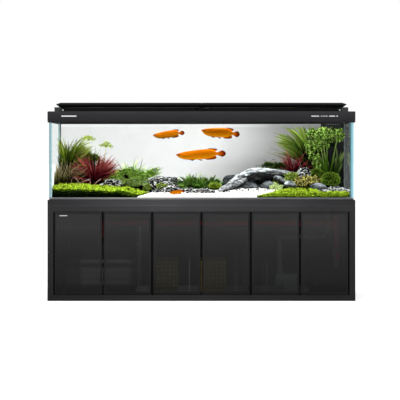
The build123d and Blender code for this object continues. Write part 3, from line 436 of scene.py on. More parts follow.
# From the sump to the lever, all but the impeller glow a little: painted light that lets them show dimly behind the
# smoked doors
dress("sump_tank", pane_material("sump_clear", EDGE_GREY, ("Z",), glow=0.2))
dress("sump_baffles", pane_material("baffle_clear", EDGE_GREY, ("Y", "Z"), glow=0.3))
coat("filter_trays", "tray_grey", (104, 106, 108), 0.5, glow=0.17, shades=TRAY_SHADES)
coat("filter_pads", "pad_white", (150, 149, 144), 0.95, grain=250, strength=0.8, glow=0.04)
coat("media_blocks", "media_yellow", (118, 106, 48), 0.9, grain=200, strength=0.7, glow=0.035)
coat("pump_body pump_cover", "pump_grey", (100, 110, 112), 0.5, glow=0.07)
coat("pump_impeller", "impeller_red", (170, 40, 30), 0.4)
coat("drain_pipe", "pipe_red", (158, 32, 34), 0.3, glow=0.05)
coat("return_pipe", "pipe_grey", (116, 119, 122), 0.4, glow=0.03)
coat("valve_body", "valve_grey", (116, 118, 121), 0.4, glow=0.03)
coat("valve_handle", "lever_red", (176, 36, 36), 0.3, glow=0.06)


# Mesh helpers
def add_piece(name, mesh, mat, body="stand", replaces=()):
    """Puts a mesh in the scene as a piece that rides on a body."""
    piece = bpy.data.objects.new(name, mesh)
    scene.collection.objects.link(piece)
    mesh.materials.clear()
    mesh.materials.append(mat)
    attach(piece, body)
    if replaces:
        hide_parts(*replaces)


def smoothed(mesh, smooth=True):
    """The mesh with all its faces smooth or flat."""
    mesh.polygons.foreach_set("use_smooth", [smooth] * len(mesh.polygons))
    return mesh


def mesh_of(name, verts, faces, smooth=True):
    """A mesh from points and faces."""
    mesh = bpy.data.meshes.new(name)
    mesh.from_pydata([tuple(v) for v in verts], [], faces)
    smoothed(mesh, smooth)
    mesh.update()
    return mesh


def finished(work, name, smooth=False):
    """The mesh of a shape made face by face."""
    mesh = bpy.data.meshes.new(name)
    work.to_mesh(mesh)
    work.free()
    return smoothed(mesh, smooth)


def with_values(mesh, along, pick):
    """The mesh with each point's place along its blade or fin and its pick kept for the material."""
    for label, values in (("along", along), ("pick", pick)):
        mesh.attributes.new(label, "FLOAT", "POINT").data.foreach_set("value", values)
    return mesh


def sheet_mesh(name, columns, rows, place):
    """A net of faces. place gives a point from its shares across and up the net."""
    verts = [place(i / columns, j / rows) for j in range(rows + 1) for i in range(columns + 1)]
    corners = [j * (columns + 1) + i for j in range(rows) for i in range(columns)]
    return mesh_of(name, verts, [(a, a + 1, a + columns + 2, a + columns + 1) for a in corners])


def box_mesh(name, low, high, bevel):
    """A box with rounded edges."""
    work = bmesh.new()
    bmesh.ops.create_cube(work, size=1)
    bmesh.ops.scale(work, verts=work.verts, vec=Vector(high) - Vector(low))
    bmesh.ops.translate(work, verts=work.verts, vec=(Vector(high) + Vector(low)) / 2)
    bmesh.ops.bevel(work, geom=work.edges[:], offset=bevel, segments=3, affect="EDGES", profile=0.5)
    return finished(work, name)


def inside_tank(point):
    """The point moved inside the panes, the water and the overflow box's outside."""
    margin = 0.003
    x = min(max(point.x, TANK_LEFT + margin), TANK_RIGHT - margin)
    y = min(max(point.y, TANK_NEAR + margin), TANK_FAR - margin)
    z = min(point.z, WATER_LEVEL - 0.002)
    if x > OVERFLOW_LEFT - margin and y > OVERFLOW_FRONT - margin:
        y = OVERFLOW_FRONT - margin
    return Vector((x, y, z))


def stretched(direction, radii):
    """A direction stretched to the radii of an ellipsoid."""
    return Vector(value * radius for value, radius in zip(direction, radii))


def sand_level(y):
    """The height of the sand at a distance from the front."""
    share = (y - TANK_NEAR) / (TANK_FAR - TANK_NEAR)
    return SAND_FRONT + share * (SAND_REAR - SAND_FRONT)


# Shapes of leaves, as the share of full width along the length
def grass_shape(t):
    return min(1.0, 0.55 + 4 * t) * (1 - t) ** 0.65 + 0.02


def sword_shape(t):
    return 0.12 + 0.9 * math.sin(math.pi * min(1.0, t * 0.86 + 0.1)) ** 1.2 if t < 0.999 else 0.02


def run_of(line, n):
    """The way a line of points runs at one of them."""
    return line[min(n + 1, len(line) - 1)] - line[max(n - 1, 0)]


class Foliage:
    """Gathers blades, leaves and stems into one mesh, with each point's place along its blade and the blade's pick."""

    def __init__(self, seed):
        self.random = random.Random(seed)
        self.verts = []
        self.faces = []
        self.along = []
        self.pick = []

    def ribbon(self, line, sides, widths, fold, pick=None):
        """A strip along a line of points, folded down its middle."""
        pick = self.random.random() if pick is None else pick
        start = len(self.verts)
        last = len(line) - 1
        for n, (point, side, width) in enumerate(zip(line, sides, widths)):
            ahead = run_of(line, n)
            lift = side.cross(ahead)
            lift = lift.normalized() if lift.length > 1e-9 else UP
            edge = side * (width / 2)
            ridge = lift * (fold * width)
            self.verts += [inside_tank(point - edge), inside_tank(point + ridge), inside_tank(point + edge)]
            self.along += [n / last] * 3
            self.pick += [pick] * 3
        for n in range(last):
            a = start + 3 * n
            self.faces += [(a, a + 1, a + 4, a + 3), (a + 1, a + 2, a + 5, a + 4)]

    def arc(self, root, heading, lean, length, droop, steps):
        """The points of a blade that leans from upright and droops along its length."""
        out = Vector((math.cos(heading), math.sin(heading), 0))
        point = Vector(root)
        line = [point.copy()]
        for n in range(1, steps + 1):
            angle = lean + droop * (n / steps) ** 1.6
            point = point + (out * math.sin(angle) + UP * math.cos(angle)) * (length / steps)
            line.append(point)
        return line

    def blade(self, root, heading, lean, length, droop, width, shape=grass_shape, steps=7, fold=0.18):
        """One curved blade."""
        line = self.arc(root, heading, lean, length, droop, steps)
        twist = self.random.choice((-1, 1)) * self.random.uniform(0.5, 1.3)
        level = Vector((-math.sin(heading), math.cos(heading), 0))
        sides = []
        for n in range(steps + 1):
            ahead = run_of(line, n)
            sides.append(level * math.cos(twist) + level.cross(ahead).normalized() * math.sin(twist))
        self.ribbon(line, sides, [width * shape(n / steps) for n in range(steps + 1)], fold)

    def leaf(self, place, direction, up, length, width, fold=0.2, pick=None):
        """One small leaf that starts at a place."""
        direction = direction.normalized()
        side = direction.cross(up)
        side = side.normalized() if side.length > 1e-6 else Vector((1, 0, 0))
        bend = side.cross(direction)
        line = [place, place + direction * length * 0.5 + bend * length * 0.08, place + direction * length]
        self.ribbon(line, [side] * 3, [width * 0.25, width, width * 0.08], fold, pick)

    def frond(self, root, heading, lean, length, droop, pairs, leaflet, width):
        """A stem with pairs of leaflets."""
        steps = max(6, pairs)
        line = self.arc(root, heading, lean, length, droop, steps)
        side = Vector((-math.sin(heading), math.cos(heading), 0))
        self.ribbon(line, [side] * len(line), [0.003 * (1.1 - n / steps) for n in range(steps + 1)], 0.2)
        for n in range(1, steps + 1):
            share = n / steps
            size = leaflet * (0.35 + 0.65 * math.sin(math.pi * min(1, 0.15 + share * 0.85)))
            ahead = (line[n] - line[n - 1]).normalized()
            for way in (-1, 1):
                direction = side * way + ahead * 0.7 + UP * self.random.uniform(-0.1, 0.35)
                self.leaf(line[n], direction, UP, size * self.random.uniform(0.8, 1.15), width)

    def stem(self, line, radii, sides=6, pick=None):
        """A round stem along a line of points."""
        pick = self.random.random() if pick is None else pick
        start = len(self.verts)
        last = len(line) - 1
        for n, (point, radius) in enumerate(zip(line, radii)):
            ahead = run_of(line, n).normalized()
            across = ahead.cross(UP)
            across = across.normalized() if across.length > 1e-3 else Vector((1, 0, 0))
            other = ahead.cross(across)
            for k in range(sides):
                turn = 2 * math.pi * k / sides
                ring = point + (across * math.cos(turn) + other * math.sin(turn)) * radius
                self.verts.append(inside_tank(ring))
                self.along.append(n / last)
                self.pick.append(pick)
        for n in range(last):
            for k in range(sides):
                a = start + n * sides + k
                b = start + n * sides + (k + 1) % sides
                self.faces.append((a, b, b + sides, a + sides))
        end = start + last * sides
        self.faces.append(tuple(range(end, end + sides)))
        self.faces.append(tuple(range(start + sides - 1, start - 1, -1)))

    def build(self, name, mat, replaces=(), slot=None):
        """The finished piece."""
        mesh = with_values(mesh_of(name, self.verts, self.faces), self.along, self.pick)
        add_piece(name, mesh, mat, replaces=replaces)


def surface_samples(node, count, seed, keep):
    """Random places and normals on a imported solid, where keep(place, normal) is true."""
    mesh = nodes[node].data
    mesh.calc_loop_triangles()
    chosen = []
    for triangle in mesh.loop_triangles:
        corners = [mesh.vertices[k].co for k in triangle.vertices]
        middle = (corners[0] + corners[1] + corners[2]) / 3
        if triangle.area > 0 and keep(middle, triangle.normal):
            chosen.append((triangle.area, corners, triangle.normal.copy()))
    picker = random.Random(seed)
    picks = picker.choices(chosen, weights=[area for area, corners, normal in chosen], k=count)
    samples = []
    for area, (a, b, c), normal in picks:
        u, v = picker.random(), picker.random()
        if u + v > 1:
            u, v = 1 - u, 1 - v
        samples.append((a + (b - a) * u + (c - a) * v, normal))
    return samples


# Materials of the planting
def leaf_material(name, root, middle, tip, vary=0.35, glow=0.0):
    """A leaf: its colour runs from root to tip, partly its own colour and partly painted shade at the root and a
    painted highlight at the tip, and varies from leaf to leaf. glow makes it give off painted light.
    """
    root, middle, tip = (srgb(*tone) for tone in (root, middle, tip))
    mat, shader = new_material(name, middle, 0.6, specular=0.03)
    tone = ramp_of(mat, attribute_of(mat, "along"), ((0, root), (0.5, middle), (1, tip)))
    varied = scaled_by(mat, tone, map_range(mat, attribute_of(mat, "pick"), 0, 1, 1 - vary, 1 + vary))
    mottled = mix_of(mat, noise_of(mat, 220.0, 3.0), varied, root)
    soft = mix_of(mat, 0.25, varied, mottled)
    paint(mat, shader, soft)
    if glow:
        add_glow(mat, shader, soft, glow)
    add_bump(mat, shader, noise_of(mat, 500.0, 2.0), 0.2, 0.0006)
    through = add_node(mat, "ShaderNodeBsdfTranslucent")
    join(mat, soft, through.inputs["Color"])
    show(mat, mix_shaders(mat, 0.15, shader.outputs["BSDF"], through.outputs["BSDF"]))
    return mat


# Leaves: colour at the root, the middle and the tip, how much it varies, and glow, which is painted light
LEAF_TONES = {
    "grass_green": ((16, 26, 3), (98, 122, 28), (170, 182, 90), 0.5),
    "olive_leaf": ((14, 13, 5), (92, 88, 46), (176, 160, 122), 0.7),
    "crimson_leaf": ((24, 2, 6), (108, 18, 32), (180, 96, 86), 0.65),
    "fern_green": ((12, 28, 2), (112, 166, 38), (232, 250, 146), 0.95, 0.09),
    "dark_fern": ((10, 22, 5), (48, 72, 22), (98, 120, 56)),
    "mid_green": ((6, 20, 2), (62, 114, 24), (168, 208, 102), 0.85, 0.03),
    "fine_green": ((16, 28, 5), (74, 100, 22), (144, 160, 62), 0.6),
    "umbel_green": ((84, 104, 20), (164, 188, 56), (208, 220, 104), 0.5, 0.12),
    "bush_leaf": ((14, 34, 3), (96, 146, 30), (206, 236, 128), 0.85, 0.05),
    "lime_leaf": ((32, 56, 6), (116, 146, 38), (190, 206, 104), 0.6),
    "sword_green": ((16, 30, 6), (76, 104, 28), (146, 166, 72), 0.6),
    "broad_green": ((10, 22, 5), (44, 66, 20), (120, 140, 78), 0.7),
    "carpet_green": ((24, 48, 0), (146, 188, 18), (232, 246, 92), 0.8, 0.34),
    # The carpet's dark copy is painted shade
    "shaded_carpet": ((2, 5, 0), (22, 44, 4), (88, 122, 30), 0.6),
    "moss_green": ((10, 20, 2), (86, 124, 28), (176, 208, 84), 0.9, 0.04),
    "bright_moss": ((50, 80, 4), (160, 196, 44), (226, 240, 116), 0.35, 0.1),
    "cress_green": ((110, 140, 60), (190, 214, 126), (238, 246, 196), 0.45, 0.18),
    "yellow_leaf": ((24, 30, 4), (150, 158, 48), (246, 220, 150), 0.95, 0.14),
    "twig_brown": ((120, 84, 76), (176, 140, 130), (214, 184, 174)),
    # Dark copies for the leaves inside the clumps: painted shade
    "shade_green": ((2, 5, 1), (10, 19, 4), (24, 38, 9), 0.4),
    "shade_red": ((6, 1, 2), (28, 6, 9), (56, 18, 20), 0.4),
}
LEAF = {name: leaf_material(name, *tones) for name, tones in LEAF_TONES.items()}


def soil_material():
    """Dark granular soil with pale specks."""
    mat, shader = new_material("soil_dark", srgb(6, 7, 4), 0.95, specular=0.0)
    grains = add_node(mat, "ShaderNodeTexVoronoi", {"Scale": 260.0})
    join(mat, place_of(mat), grains.inputs["Vector"])
    stops = ((0.0, srgb(1, 2, 1)), (0.78, srgb(5, 7, 3)), (0.92, srgb(26, 36, 14)), (1.0, srgb(120, 132, 96)))
    paint(mat, shader, ramp_of(mat, grains.outputs["Color"], stops))
    add_bump(mat, shader, grains.outputs["Distance"], 0.6, 0.002)
    return mat


def sand_material():
    """Fine white sand with low ripples."""
    mat, shader = new_material("sand_white", srgb(248, 246, 240), 0.95, specular=0.1)
    tone = ramp_of(mat, noise_of(mat, 900.0, 2.0), ((0.3, srgb(226, 220, 208)), (0.6, srgb(252, 251, 248))))
    paint(mat, shader, tone)
    add_bump(mat, shader, noise_of(mat, 700.0, 2.0), 0.35, 0.001)
    return mat


def speckled_material(name, share):
    """Dark stone with white flecks in short streaks. share is how much of it the flecks leave dark."""
    mat, shader = new_material(name, srgb(70, 72, 74), 0.7, specular=0.06)
    flecks = noise_of(mat, 90.0, 3.0, 0.6, stretch=(0.7, 1, 1.4))
    steps = ((-0.05, (2, 3, 4)), (0.0, (22, 24, 26)), (0.03, (172, 175, 175)), (0.12, (240, 240, 236)))
    tone = ramp_of(mat, flecks, [(share + step, srgb(*colour)) for step, colour in steps])
    paint(mat, shader, tone)
    add_bump(mat, shader, flecks, 0.5, 0.003)
    return mat


def grey_stone_material(name, share):
    """Blue-grey stone with paler bands and chipped faces, with painted light on its top and painted shade on its sides
    and underside. share scales its tone.
    """
    mat, shader = new_material(name, srgb(110, 114, 116), 0.75, specular=0.06)
    bands = noise_of(mat, 26.0, 8.0, 0.7, stretch=(0.6, 1, 1.8))
    stops = ((0.3, (16, 18, 21)), (0.48, (66, 70, 74)), (0.62, (118, 124, 128)), (0.75, (176, 181, 181)))
    tone = ramp_of(mat, bands, [(at, srgb(*colour)) for at, colour in stops])
    upward = map_range(mat, normal_axis(mat, "Z"), -0.3, 0.7, 0.85 * share, 1.5 * share)
    paint(mat, shader, scaled_by(mat, tone, upward))
    add_bump(mat, shader, noise_of(mat, 160.0, 6.0, 0.7), 0.5, 0.004)
    return mat


def driftwood_material(name, share):
    """Weathered grey wood with furrows, with painted light on top and painted shade below and towards its right end.
    share scales its tone.
    """
    mat, shader = new_material(name, srgb(120, 120, 118), 0.8, specular=0.05)
    furrows = noise_of(mat, 70.0, 8.0, 0.7, stretch=(0.35, 1.4, 1.2))
    stops = ((0.37, (12, 13, 14)), (0.46, (98, 101, 103)), (0.56, (170, 174, 176)), (0.68, (224, 226, 226)))
    tone = ramp_of(mat, furrows, [(at, srgb(*colour)) for at, colour in stops])
    upward = map_range(mat, normal_axis(mat, "Z"), -0.4, 0.5, 0.08 * share, 1.35 * share)
    far_end = map_range(mat, axis_of(mat, "X"), 0.40, 0.58, 1.0, 0.5)
    paint(mat, shader, scaled_by(mat, tone, maths(mat, "MULTIPLY", upward, far_end)))
    add_bump(mat, shader, furrows, 0.8, 0.006)
    return mat


soil_dark = soil_material()
sand_white = sand_material()
stone_speckled = speckled_material("stone_speckled", 0.53)
pebble_pale = speckled_material("pebble_pale", 0.47)
stone_grey = grey_stone_material("stone_grey", 1.0)
# A dark copy for the stone under the driftwood's arch: painted shade
shaded_stone = grey_stone_material("shaded_stone", 0.3)
stone_pale = grey_stone_material("stone_pale", 1.7)
wood_grey = driftwood_material("wood_grey", 1.0)
# A dark copy of the wood: painted shade
shaded_wood = driftwood_material("shaded_wood", 0.12)


# Film behind the back pane: its glow, how far its shade leans with height, and its greys from left to right, all
# painted light and shade
FILM_GLOW = 0.94
FILM_LEAN = ((0, 0.25), (0.3, 0.18), (0.65, 0.04), (1, 0.0))
FILM_GREYS = (
    (-1, 229), (-0.56, 236), (0.03, 243), (0.13, 237), (0.22, 222), (0.32, 207), (0.42, 187), (0.52, 164),
    (0.61, 148), (0.81, 126), (1.1, 112),
)


def film_material():
    """Pale backing film that glows with painted light: grey towards the right and the foot as painted shade, white
    above the water as painted light, dark behind the overflow box as painted shade.
    """
    mat, shader = new_material("film_white", srgb(235, 235, 235), 0.8, specular=0.0)
    height = map_range(mat, axis_of(mat, "Z"), 0.78, 1.05, 0, 1)
    lean = ramp_of(mat, height, [(at, grey(share)) for at, share in FILM_LEAN])
    across = map_range(mat, maths(mat, "ADD", axis_of(mat, "X"), lean), -1, 1.2, 0, 1)
    tone = ramp_of(mat, across, [((at + 1) / 2.2, srgb(*(value,) * 3)) for at, value in FILM_GREYS])
    above = map_range(mat, axis_of(mat, "Z"), WATER_LEVEL - 0.002, WATER_LEVEL, 0, 0.7)
    above = maths(mat, "MULTIPLY", above, map_range(mat, axis_of(mat, "X"), 0.15, 0.5, 1, 0.08))
    tone = mix_of(mat, above, tone, WHITE)
    tone = mix_of(mat, maths(mat, "GREATER_THAN", axis_of(mat, "X"), OVERFLOW_LEFT - 0.001), tone, srgb(52, 53, 54))
    paint(mat, shader, scaled_by(mat, tone, 0.12))
    add_glow(mat, shader, tone, FILM_GLOW)
    add_bump(mat, shader, noise_of(mat, 15.0, 2.0), 0.05, 0.002)
    return mat


film = box_mesh("back_film", (-0.985, 0.2903, 0.665), (0.985, 0.2911, 1.158), 0.0003)
add_piece("back_film", film, film_material())

# Dark seams in the rear corners of the tank
seam_black = satin_material("seam_black", (34, 35, 36), 0.5)
for name, x in (("seam_left", TANK_LEFT + 0.004), ("seam_right", TANK_RIGHT - 0.004)):
    strip = box_mesh(name, (x - 0.0034, 0.2710, TANK_FLOOR), (x + 0.0034, 0.2778, 1.167), 0.002)
    add_piece(name, strip, seam_black)


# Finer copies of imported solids
def solid_copy(name, node, keep, voxel, rise):
    """A finer mesh of some solids of a node. rise gives how far a point moves outwards."""
    work = bmesh.new()
    work.from_mesh(nodes[node].data)
    bmesh.ops.remove_doubles(work, verts=work.verts, dist=1e-6)
    bmesh.ops.delete(work, geom=[v for v in work.verts if not keep(v.co)], context="VERTS")
    piece = bpy.data.objects.new(name, finished(work, name))
    scene.collection.objects.link(piece)
    remesh = piece.modifiers.new("remesh", "REMESH")
    remesh.mode = "VOXEL"
    remesh.voxel_size = voxel
    graph = bpy.context.evaluated_depsgraph_get()
    fine_mesh = bpy.data.meshes.new_from_object(piece.evaluated_get(graph))
    bpy.data.objects.remove(piece)
    moved = [inside_tank(v.co + v.normal * rise(v.co)) for v in fine_mesh.vertices]
    for vertex, place in zip(fine_mesh.vertices, moved):
        vertex.co = place
    fine_mesh.name = name
    return smoothed(fine_mesh)


def everything(place):
    """Keeps all solids of a node."""
    return True


# Banks thin out towards the sand. Their ends along X at the front, the middle and the back
LEFT_BANK_END = (-0.430, -0.320, -0.300)
RIGHT_BANK_END = (0.362, 0.521, 0.560)


def bank_edge(y, near, middle, far):
    """Where a bank ends along X, from its places at the front, the middle and the back."""
    bow = (near + far - 2 * middle) / (2 * TANK_FAR**2)
    return middle + (far - near) / (2 * TANK_FAR) * y + bow * y * y


def ease(value, low, high):
    """A share that runs smoothly from 0 at low to 1 at high."""
    share = min(1.0, max(0.0, (value - low) / (high - low)))
    return share * share * (3 - 2 * share)


def thinned(place):
    """The place lowered where a carpet dips towards the stones and where a bank ends."""
    if place.x < 0:
        inside = bank_edge(place.y, *LEFT_BANK_END) - place.x
        dip = 0.022 * ease(place.x, -0.86, -0.50) * (1 - ease(place.y, -0.118, -0.095))
    else:
        inside = place.x - bank_edge(place.y, *RIGHT_BANK_END)
        dip = 0.015 * (1 - ease(place.y, -0.098, -0.075))
    share = 0.08 + 0.92 * ease(inside, 0.0, 0.13)
    ground = sand_level(place.y) - 0.003
    if place.z <= ground:
        return place.copy()
    dip *= ease(place.z, ground, LEFT_TERRACE)
    return Vector((place.x, place.y, ground + (place.z - dip - ground) * share))


# Soil, sand and the carpets' ground, set a little behind the front pane
def soil_rise(place):
    """How far the soil's grain rises at a place."""
    return noise.noise(place * 90.0) * 0.0016 - 0.0012


def sand_swell(x, y):
    """How far the sand rises before the stones under the driftwood."""
    return 0.014 * ease(x, 0.10, 0.28) * (1 - ease(x, 0.46, 0.54)) * ease(y, -0.16, -0.07)


def sand_rise(place):
    """How far the sand's ripples rise at a place."""
    swell = sand_swell(place.x, place.y) if place.z > sand_level(place.y) - 0.004 else 0.0
    return noise.noise(Vector((place.x * 9, place.y * 16, 0.5))) * 0.002 - 0.0006 + swell


def bank_copy(name, node, voxel):
    """A rough copy of a packed layer, thinned at its end."""
    mesh = solid_copy(name, node, everything, voxel, soil_rise)
    for vertex in mesh.vertices:
        vertex.co = thinned(vertex.co)
        vertex.co.y = max(vertex.co.y, TANK_NEAR + 0.007)
    return mesh


soil_piece = bank_copy("soil_grain", "soil_banks", 0.008)
add_piece("soil_grain", soil_piece, soil_dark, replaces=("soil_banks",))
sand_piece = solid_copy("sand_ripples", "sand_bed", everything, 0.008, sand_rise)
add_piece("sand_ripples", sand_piece, sand_white, replaces=("sand_bed",))
# The carpets' ground wears the carpet's dark copy, painted shade under the tufts
ground_piece = bank_copy("carpet_ground", "carpets", 0.005)
add_piece("carpet_ground", ground_piece, LEAF["shaded_carpet"], replaces=("carpets",))


# Carpets: tufts over the imported carpets. Dark tufts are painted shade, in patches, along the left bank's foot and
# down the front, where the tufts are also shorter
def on_top(place, normal):
    """Keeps faces that look up."""
    return normal.z > 0.5


def in_front(place, normal):
    """Keeps faces that look to the front."""
    return normal.y < -0.8


def tuft(foliage, place, lengths, leans, width, heading=None):
    """One short blade that stands on a carpet or on its front."""
    pick = foliage.random
    heading = pick.uniform(0, 2 * math.pi) if heading is None else heading
    foliage.blade(thinned(place), heading, pick.uniform(*leans), pick.uniform(*lengths), 0.6, width, steps=2)


def planted(place):
    """Whether tufts grow here: at the right end the carpet makes room for stones and pebbles."""
    if place.x < 0:
        return True
    limit = -0.10 - 0.03 * ease(place.x, 0.62, 0.70) - 0.085 * ease(place.x, 0.72, 0.80)
    return place.y < limit + 0.02 * noise.noise(place * 30.0)


carpet = Foliage(11)
shaded = Foliage(13)
for place, normal in surface_samples("carpets", 15000, 12, on_top):
    if not planted(place):
        continue
    patch = noise.noise(place * 60.0) + 0.6 * noise.noise(place * 140.0)
    tall = (0.013 if place.x < 0 else 0.010) + 0.011 * patch
    at_foot = -0.56 < place.x < 0 and place.y < -0.236
    # Where the noise patches are low and along the left bank's foot, tufts take the painted shade
    if patch > 0.0 and not at_foot:
        tuft(carpet, place - normal * 0.002, (tall * 0.8, tall * 1.3), (0.0, 0.75), 0.0072)
    else:
        tuft(shaded, place - normal * 0.003, (0.008, 0.014), (0.0, 0.9), 0.0072)
for place, normal in surface_samples("carpets", 2600, 14, in_front):
    heading = -math.pi / 2 + carpet.random.uniform(-1.1, 1.1)
    group = carpet if carpet.random.random() < (0.08 if place.x < 0 else 0.5) else shaded
    tuft(group, place + Vector((0, 0.005, 0.001)), (0.006, 0.014), (0.1, 1.0), 0.0042, heading)
for place, normal in surface_samples("soil_banks", 3400, 17, in_front):
    heading = -math.pi / 2 + shaded.random.uniform(-1.2, 1.2)
    depth = LEFT_TERRACE - 0.030 - place.z
    if place.x > 0:
        group = carpet if shaded.random.random() < 0.45 else shaded
        tuft(group, place + Vector((0, 0.005, 0)), (0.007, 0.016), (0.0, 0.8), 0.0045, heading)
    elif shaded.random.random() < 0.6 * math.exp(-depth / 0.009):
        tuft(shaded, place + Vector((0, 0.006, 0)), (0.005, 0.011), (0.3, 2.2), 0.004, heading)
carpet.build("carpet_blades", LEAF["carpet_green"], slot="carpet_green")
shaded.build("carpet_roots", LEAF["shaded_carpet"], slot="carpet_green")


# Ways to plant
def clump(
    foliage, root, spread, count, lengths, leans, droops, width, shape=grass_shape, turn=None, rise=0.0, fan=0.75
):
    """Blades from about one stem, kept off the end panes. turn is the headings' range, rise the stem's height."""
    pick = foliage.random
    for _ in range(count):
        heading = pick.uniform(*turn) if turn else pick.choice((0, math.pi)) + pick.gauss(0, fan)
        away = pick.uniform(0, spread)
        foot = Vector(root) + Vector((math.cos(heading) * away, math.sin(heading) * away, pick.uniform(0, rise)))
        lean, length, droop = pick.uniform(*leans), pick.uniform(*lengths), pick.uniform(*droops)
        room = foot.x - TANK_LEFT if math.cos(heading) < 0 else TANK_RIGHT - foot.x
        reach = max(1e-6, length * abs(math.cos(heading)))
        most = math.asin(min(1.0, max(0.0, room - 0.008) / reach))
        share = most / max(1e-6, lean + 0.4 * droop) if most < 1.57 else 1.0
        share = min(1.0, max(0.0, share))
        length *= 0.55 + 0.45 * share
        foliage.blade(foot, heading, lean * share, length, droop * share, width * pick.uniform(0.75, 1.15), shape)


def leaf_cloud(foliage, middle, radii, count, size, width, inner=0.5):
    """Small leaves through the outer part of an ellipsoid."""
    pick = foliage.random
    for _ in range(count):
        direction = Vector((pick.gauss(0, 1), pick.gauss(0, 1), pick.gauss(0, 1))).normalized()
        depth = pick.uniform(inner, 1) ** 0.5
        place = Vector(middle) + stretched(direction, radii) * depth
        aim = direction + Vector((pick.uniform(-0.7, 0.7), pick.uniform(-0.7, 0.7), pick.uniform(-0.3, 0.7)))
        foliage.leaf(place, aim, UP, size * pick.uniform(0.7, 1.2), width)


def rosettes(foliage, middle, radii, count, size, width, leaves, spread=0.5):
    """Clusters of leaves over the front and the top of an ellipsoid, most of them painted dark as shade among the
    leaves.
    """
    pick = foliage.random
    for _ in range(count):
        direction = Vector((pick.gauss(0, 1), pick.gauss(-0.6, 0.9), pick.gauss(0.3, 1))).normalized()
        tip = Vector(middle) + stretched(direction, radii) * pick.uniform(0.65, 1.0)
        for k in range(leaves):
            shade = pick.random() ** 2.4
            turn = 2 * math.pi * k / leaves + pick.uniform(-0.25, 0.25)
            aim = Vector((math.cos(turn), -spread + pick.uniform(-0.25, 0.25), math.sin(turn) * 0.8 + 0.25))
            foliage.leaf(tip, aim, Vector((0, -1, 0.5)), size * pick.uniform(0.7, 1.2), width, pick=shade)


def stalks(foliage, foot, tips, radius):
    """Bowed stalks from one foot to several tips."""
    for tip in tips:
        foot_place, tip_place = Vector(foot), Vector(tip)
        middle = (foot_place + tip_place) / 2 + Vector((0.006, 0, 0.008))
        foliage.stem([foot_place, middle, tip_place], [radius, radius * 0.85, radius * 0.6], pick=0.3)


# Leaves painted dark inside the clumps: painted shade
shade = Foliage(19)
clump(shade, (-0.903, 0.01, LEFT_TERRACE + 0.06), 0.03, 70, (0.08, 0.14), (0.0, 0.9), (0.1, 0.7), 0.012, rise=0.06)
leaf_cloud(shade, (-0.82, 0.14, 0.90), (0.07, 0.05, 0.06), 640, 0.026, 0.012, 0.05)
leaf_cloud(shade, (-0.78, 0.14, 0.80), (0.10, 0.05, 0.07), 600, 0.03, 0.013, 0.05)
leaf_cloud(shade, (-0.49, 0.05, 0.775), (0.11, 0.05, 0.06), 800, 0.024, 0.011, 0.05)
leaf_cloud(shade, (-0.02, 0.14, 0.735), (0.13, 0.045, 0.045), 800, 0.022, 0.010, 0.05)
leaf_cloud(shade, (0.815, 0.02, 1.045), (0.10, 0.035, 0.055), 700, 0.022, 0.011, 0.05)
leaf_cloud(shade, (0.775, 0.04, 0.945), (0.05, 0.03, 0.06), 420, 0.024, 0.011, 0.05)
leaf_cloud(shade, (0.80, 0.08, 0.86), (0.07, 0.03, 0.08), 420, 0.03, 0.012, 0.05)
leaf_cloud(shade, (0.71, -0.03, 0.735), (0.09, 0.03, 0.03), 420, 0.018, 0.009, 0.05)
clump(shade, (0.73, 0.19, RIGHT_TERRACE + 0.1), 0.03, 40, (0.12, 0.22), (0.0, 0.7), (0.1, 0.5), 0.014, rise=0.08)
shade.build("shaded_leaves", LEAF["shade_green"], slot="bush_green")

shade_reds = Foliage(20)
red_root = (-0.716, -0.01, LEFT_TERRACE + 0.012)
clump(shade_reds, red_root, 0.03, 240, (0.09, 0.17), (0.0, 1.4), (0.0, 0.4), 0.013, rise=0.03)
red_root = (0.628, 0.17, RIGHT_TERRACE + 0.05)
clump(shade_reds, red_root, 0.02, 70, (0.07, 0.12), (0.0, 1.35), (0.0, 0.4), 0.011, rise=0.03)
clump(shade_reds, (-0.90, -0.07, LEFT_TERRACE), 0.06, 200, (0.06, 0.11), (0.0, 1.1), (0.1, 0.7), 0.011, rise=0.02)
shade_reds.build("shaded_red_leaves", LEAF["shade_red"], slot="leaf_red")

# Tall grass at the left end, sword leaves at the right
tall = Foliage(21)
clump(tall, (-0.903, 0.0, 0.865), 0.012, 46, (0.14, 0.195), (0.0, 0.8), (0.15, 0.95), 0.012, rise=0.05, fan=0.6)
clump(tall, (-0.903, 0.0, 0.875), 0.012, 34, (0.15, 0.23), (0.35, 1.0), (0.2, 0.9), 0.012, turn=(-0.6, 0.6), rise=0.05)
clump(tall, (-0.903, 0.0, 0.865), 0.012, 34, (0.12, 0.19), (0.4, 1.0), (0.0, 0.6), 0.012, turn=(2.3, 4.0), rise=0.06)
clump(tall, (-0.90, 0.0, 0.82), 0.015, 40, (0.10, 0.17), (0.3, 1.2), (0.1, 0.8), 0.0115, rise=0.06, fan=0.6)
clump(tall, (-0.895, -0.02, 0.85), 0.03, 44, (0.13, 0.215), (0.0, 0.38), (0.0, 0.5), 0.0105, rise=0.04, fan=0.5)
clump(tall, (-0.88, -0.02, 0.86), 0.02, 34, (0.15, 0.22), (0.3, 0.85), (0.1, 0.6), 0.010, turn=(-0.5, 0.5), rise=0.04)
stalks(tall, (-0.90, 0.0, LEFT_TERRACE - 0.004), ((-0.903, 0.0, 0.90), (-0.89, 0.01, 0.86)), 0.006)
tall.build("tall_leaves", LEAF["grass_green"], slot="leaf_green")
dress("tall_plants", LEAF["grass_green"])

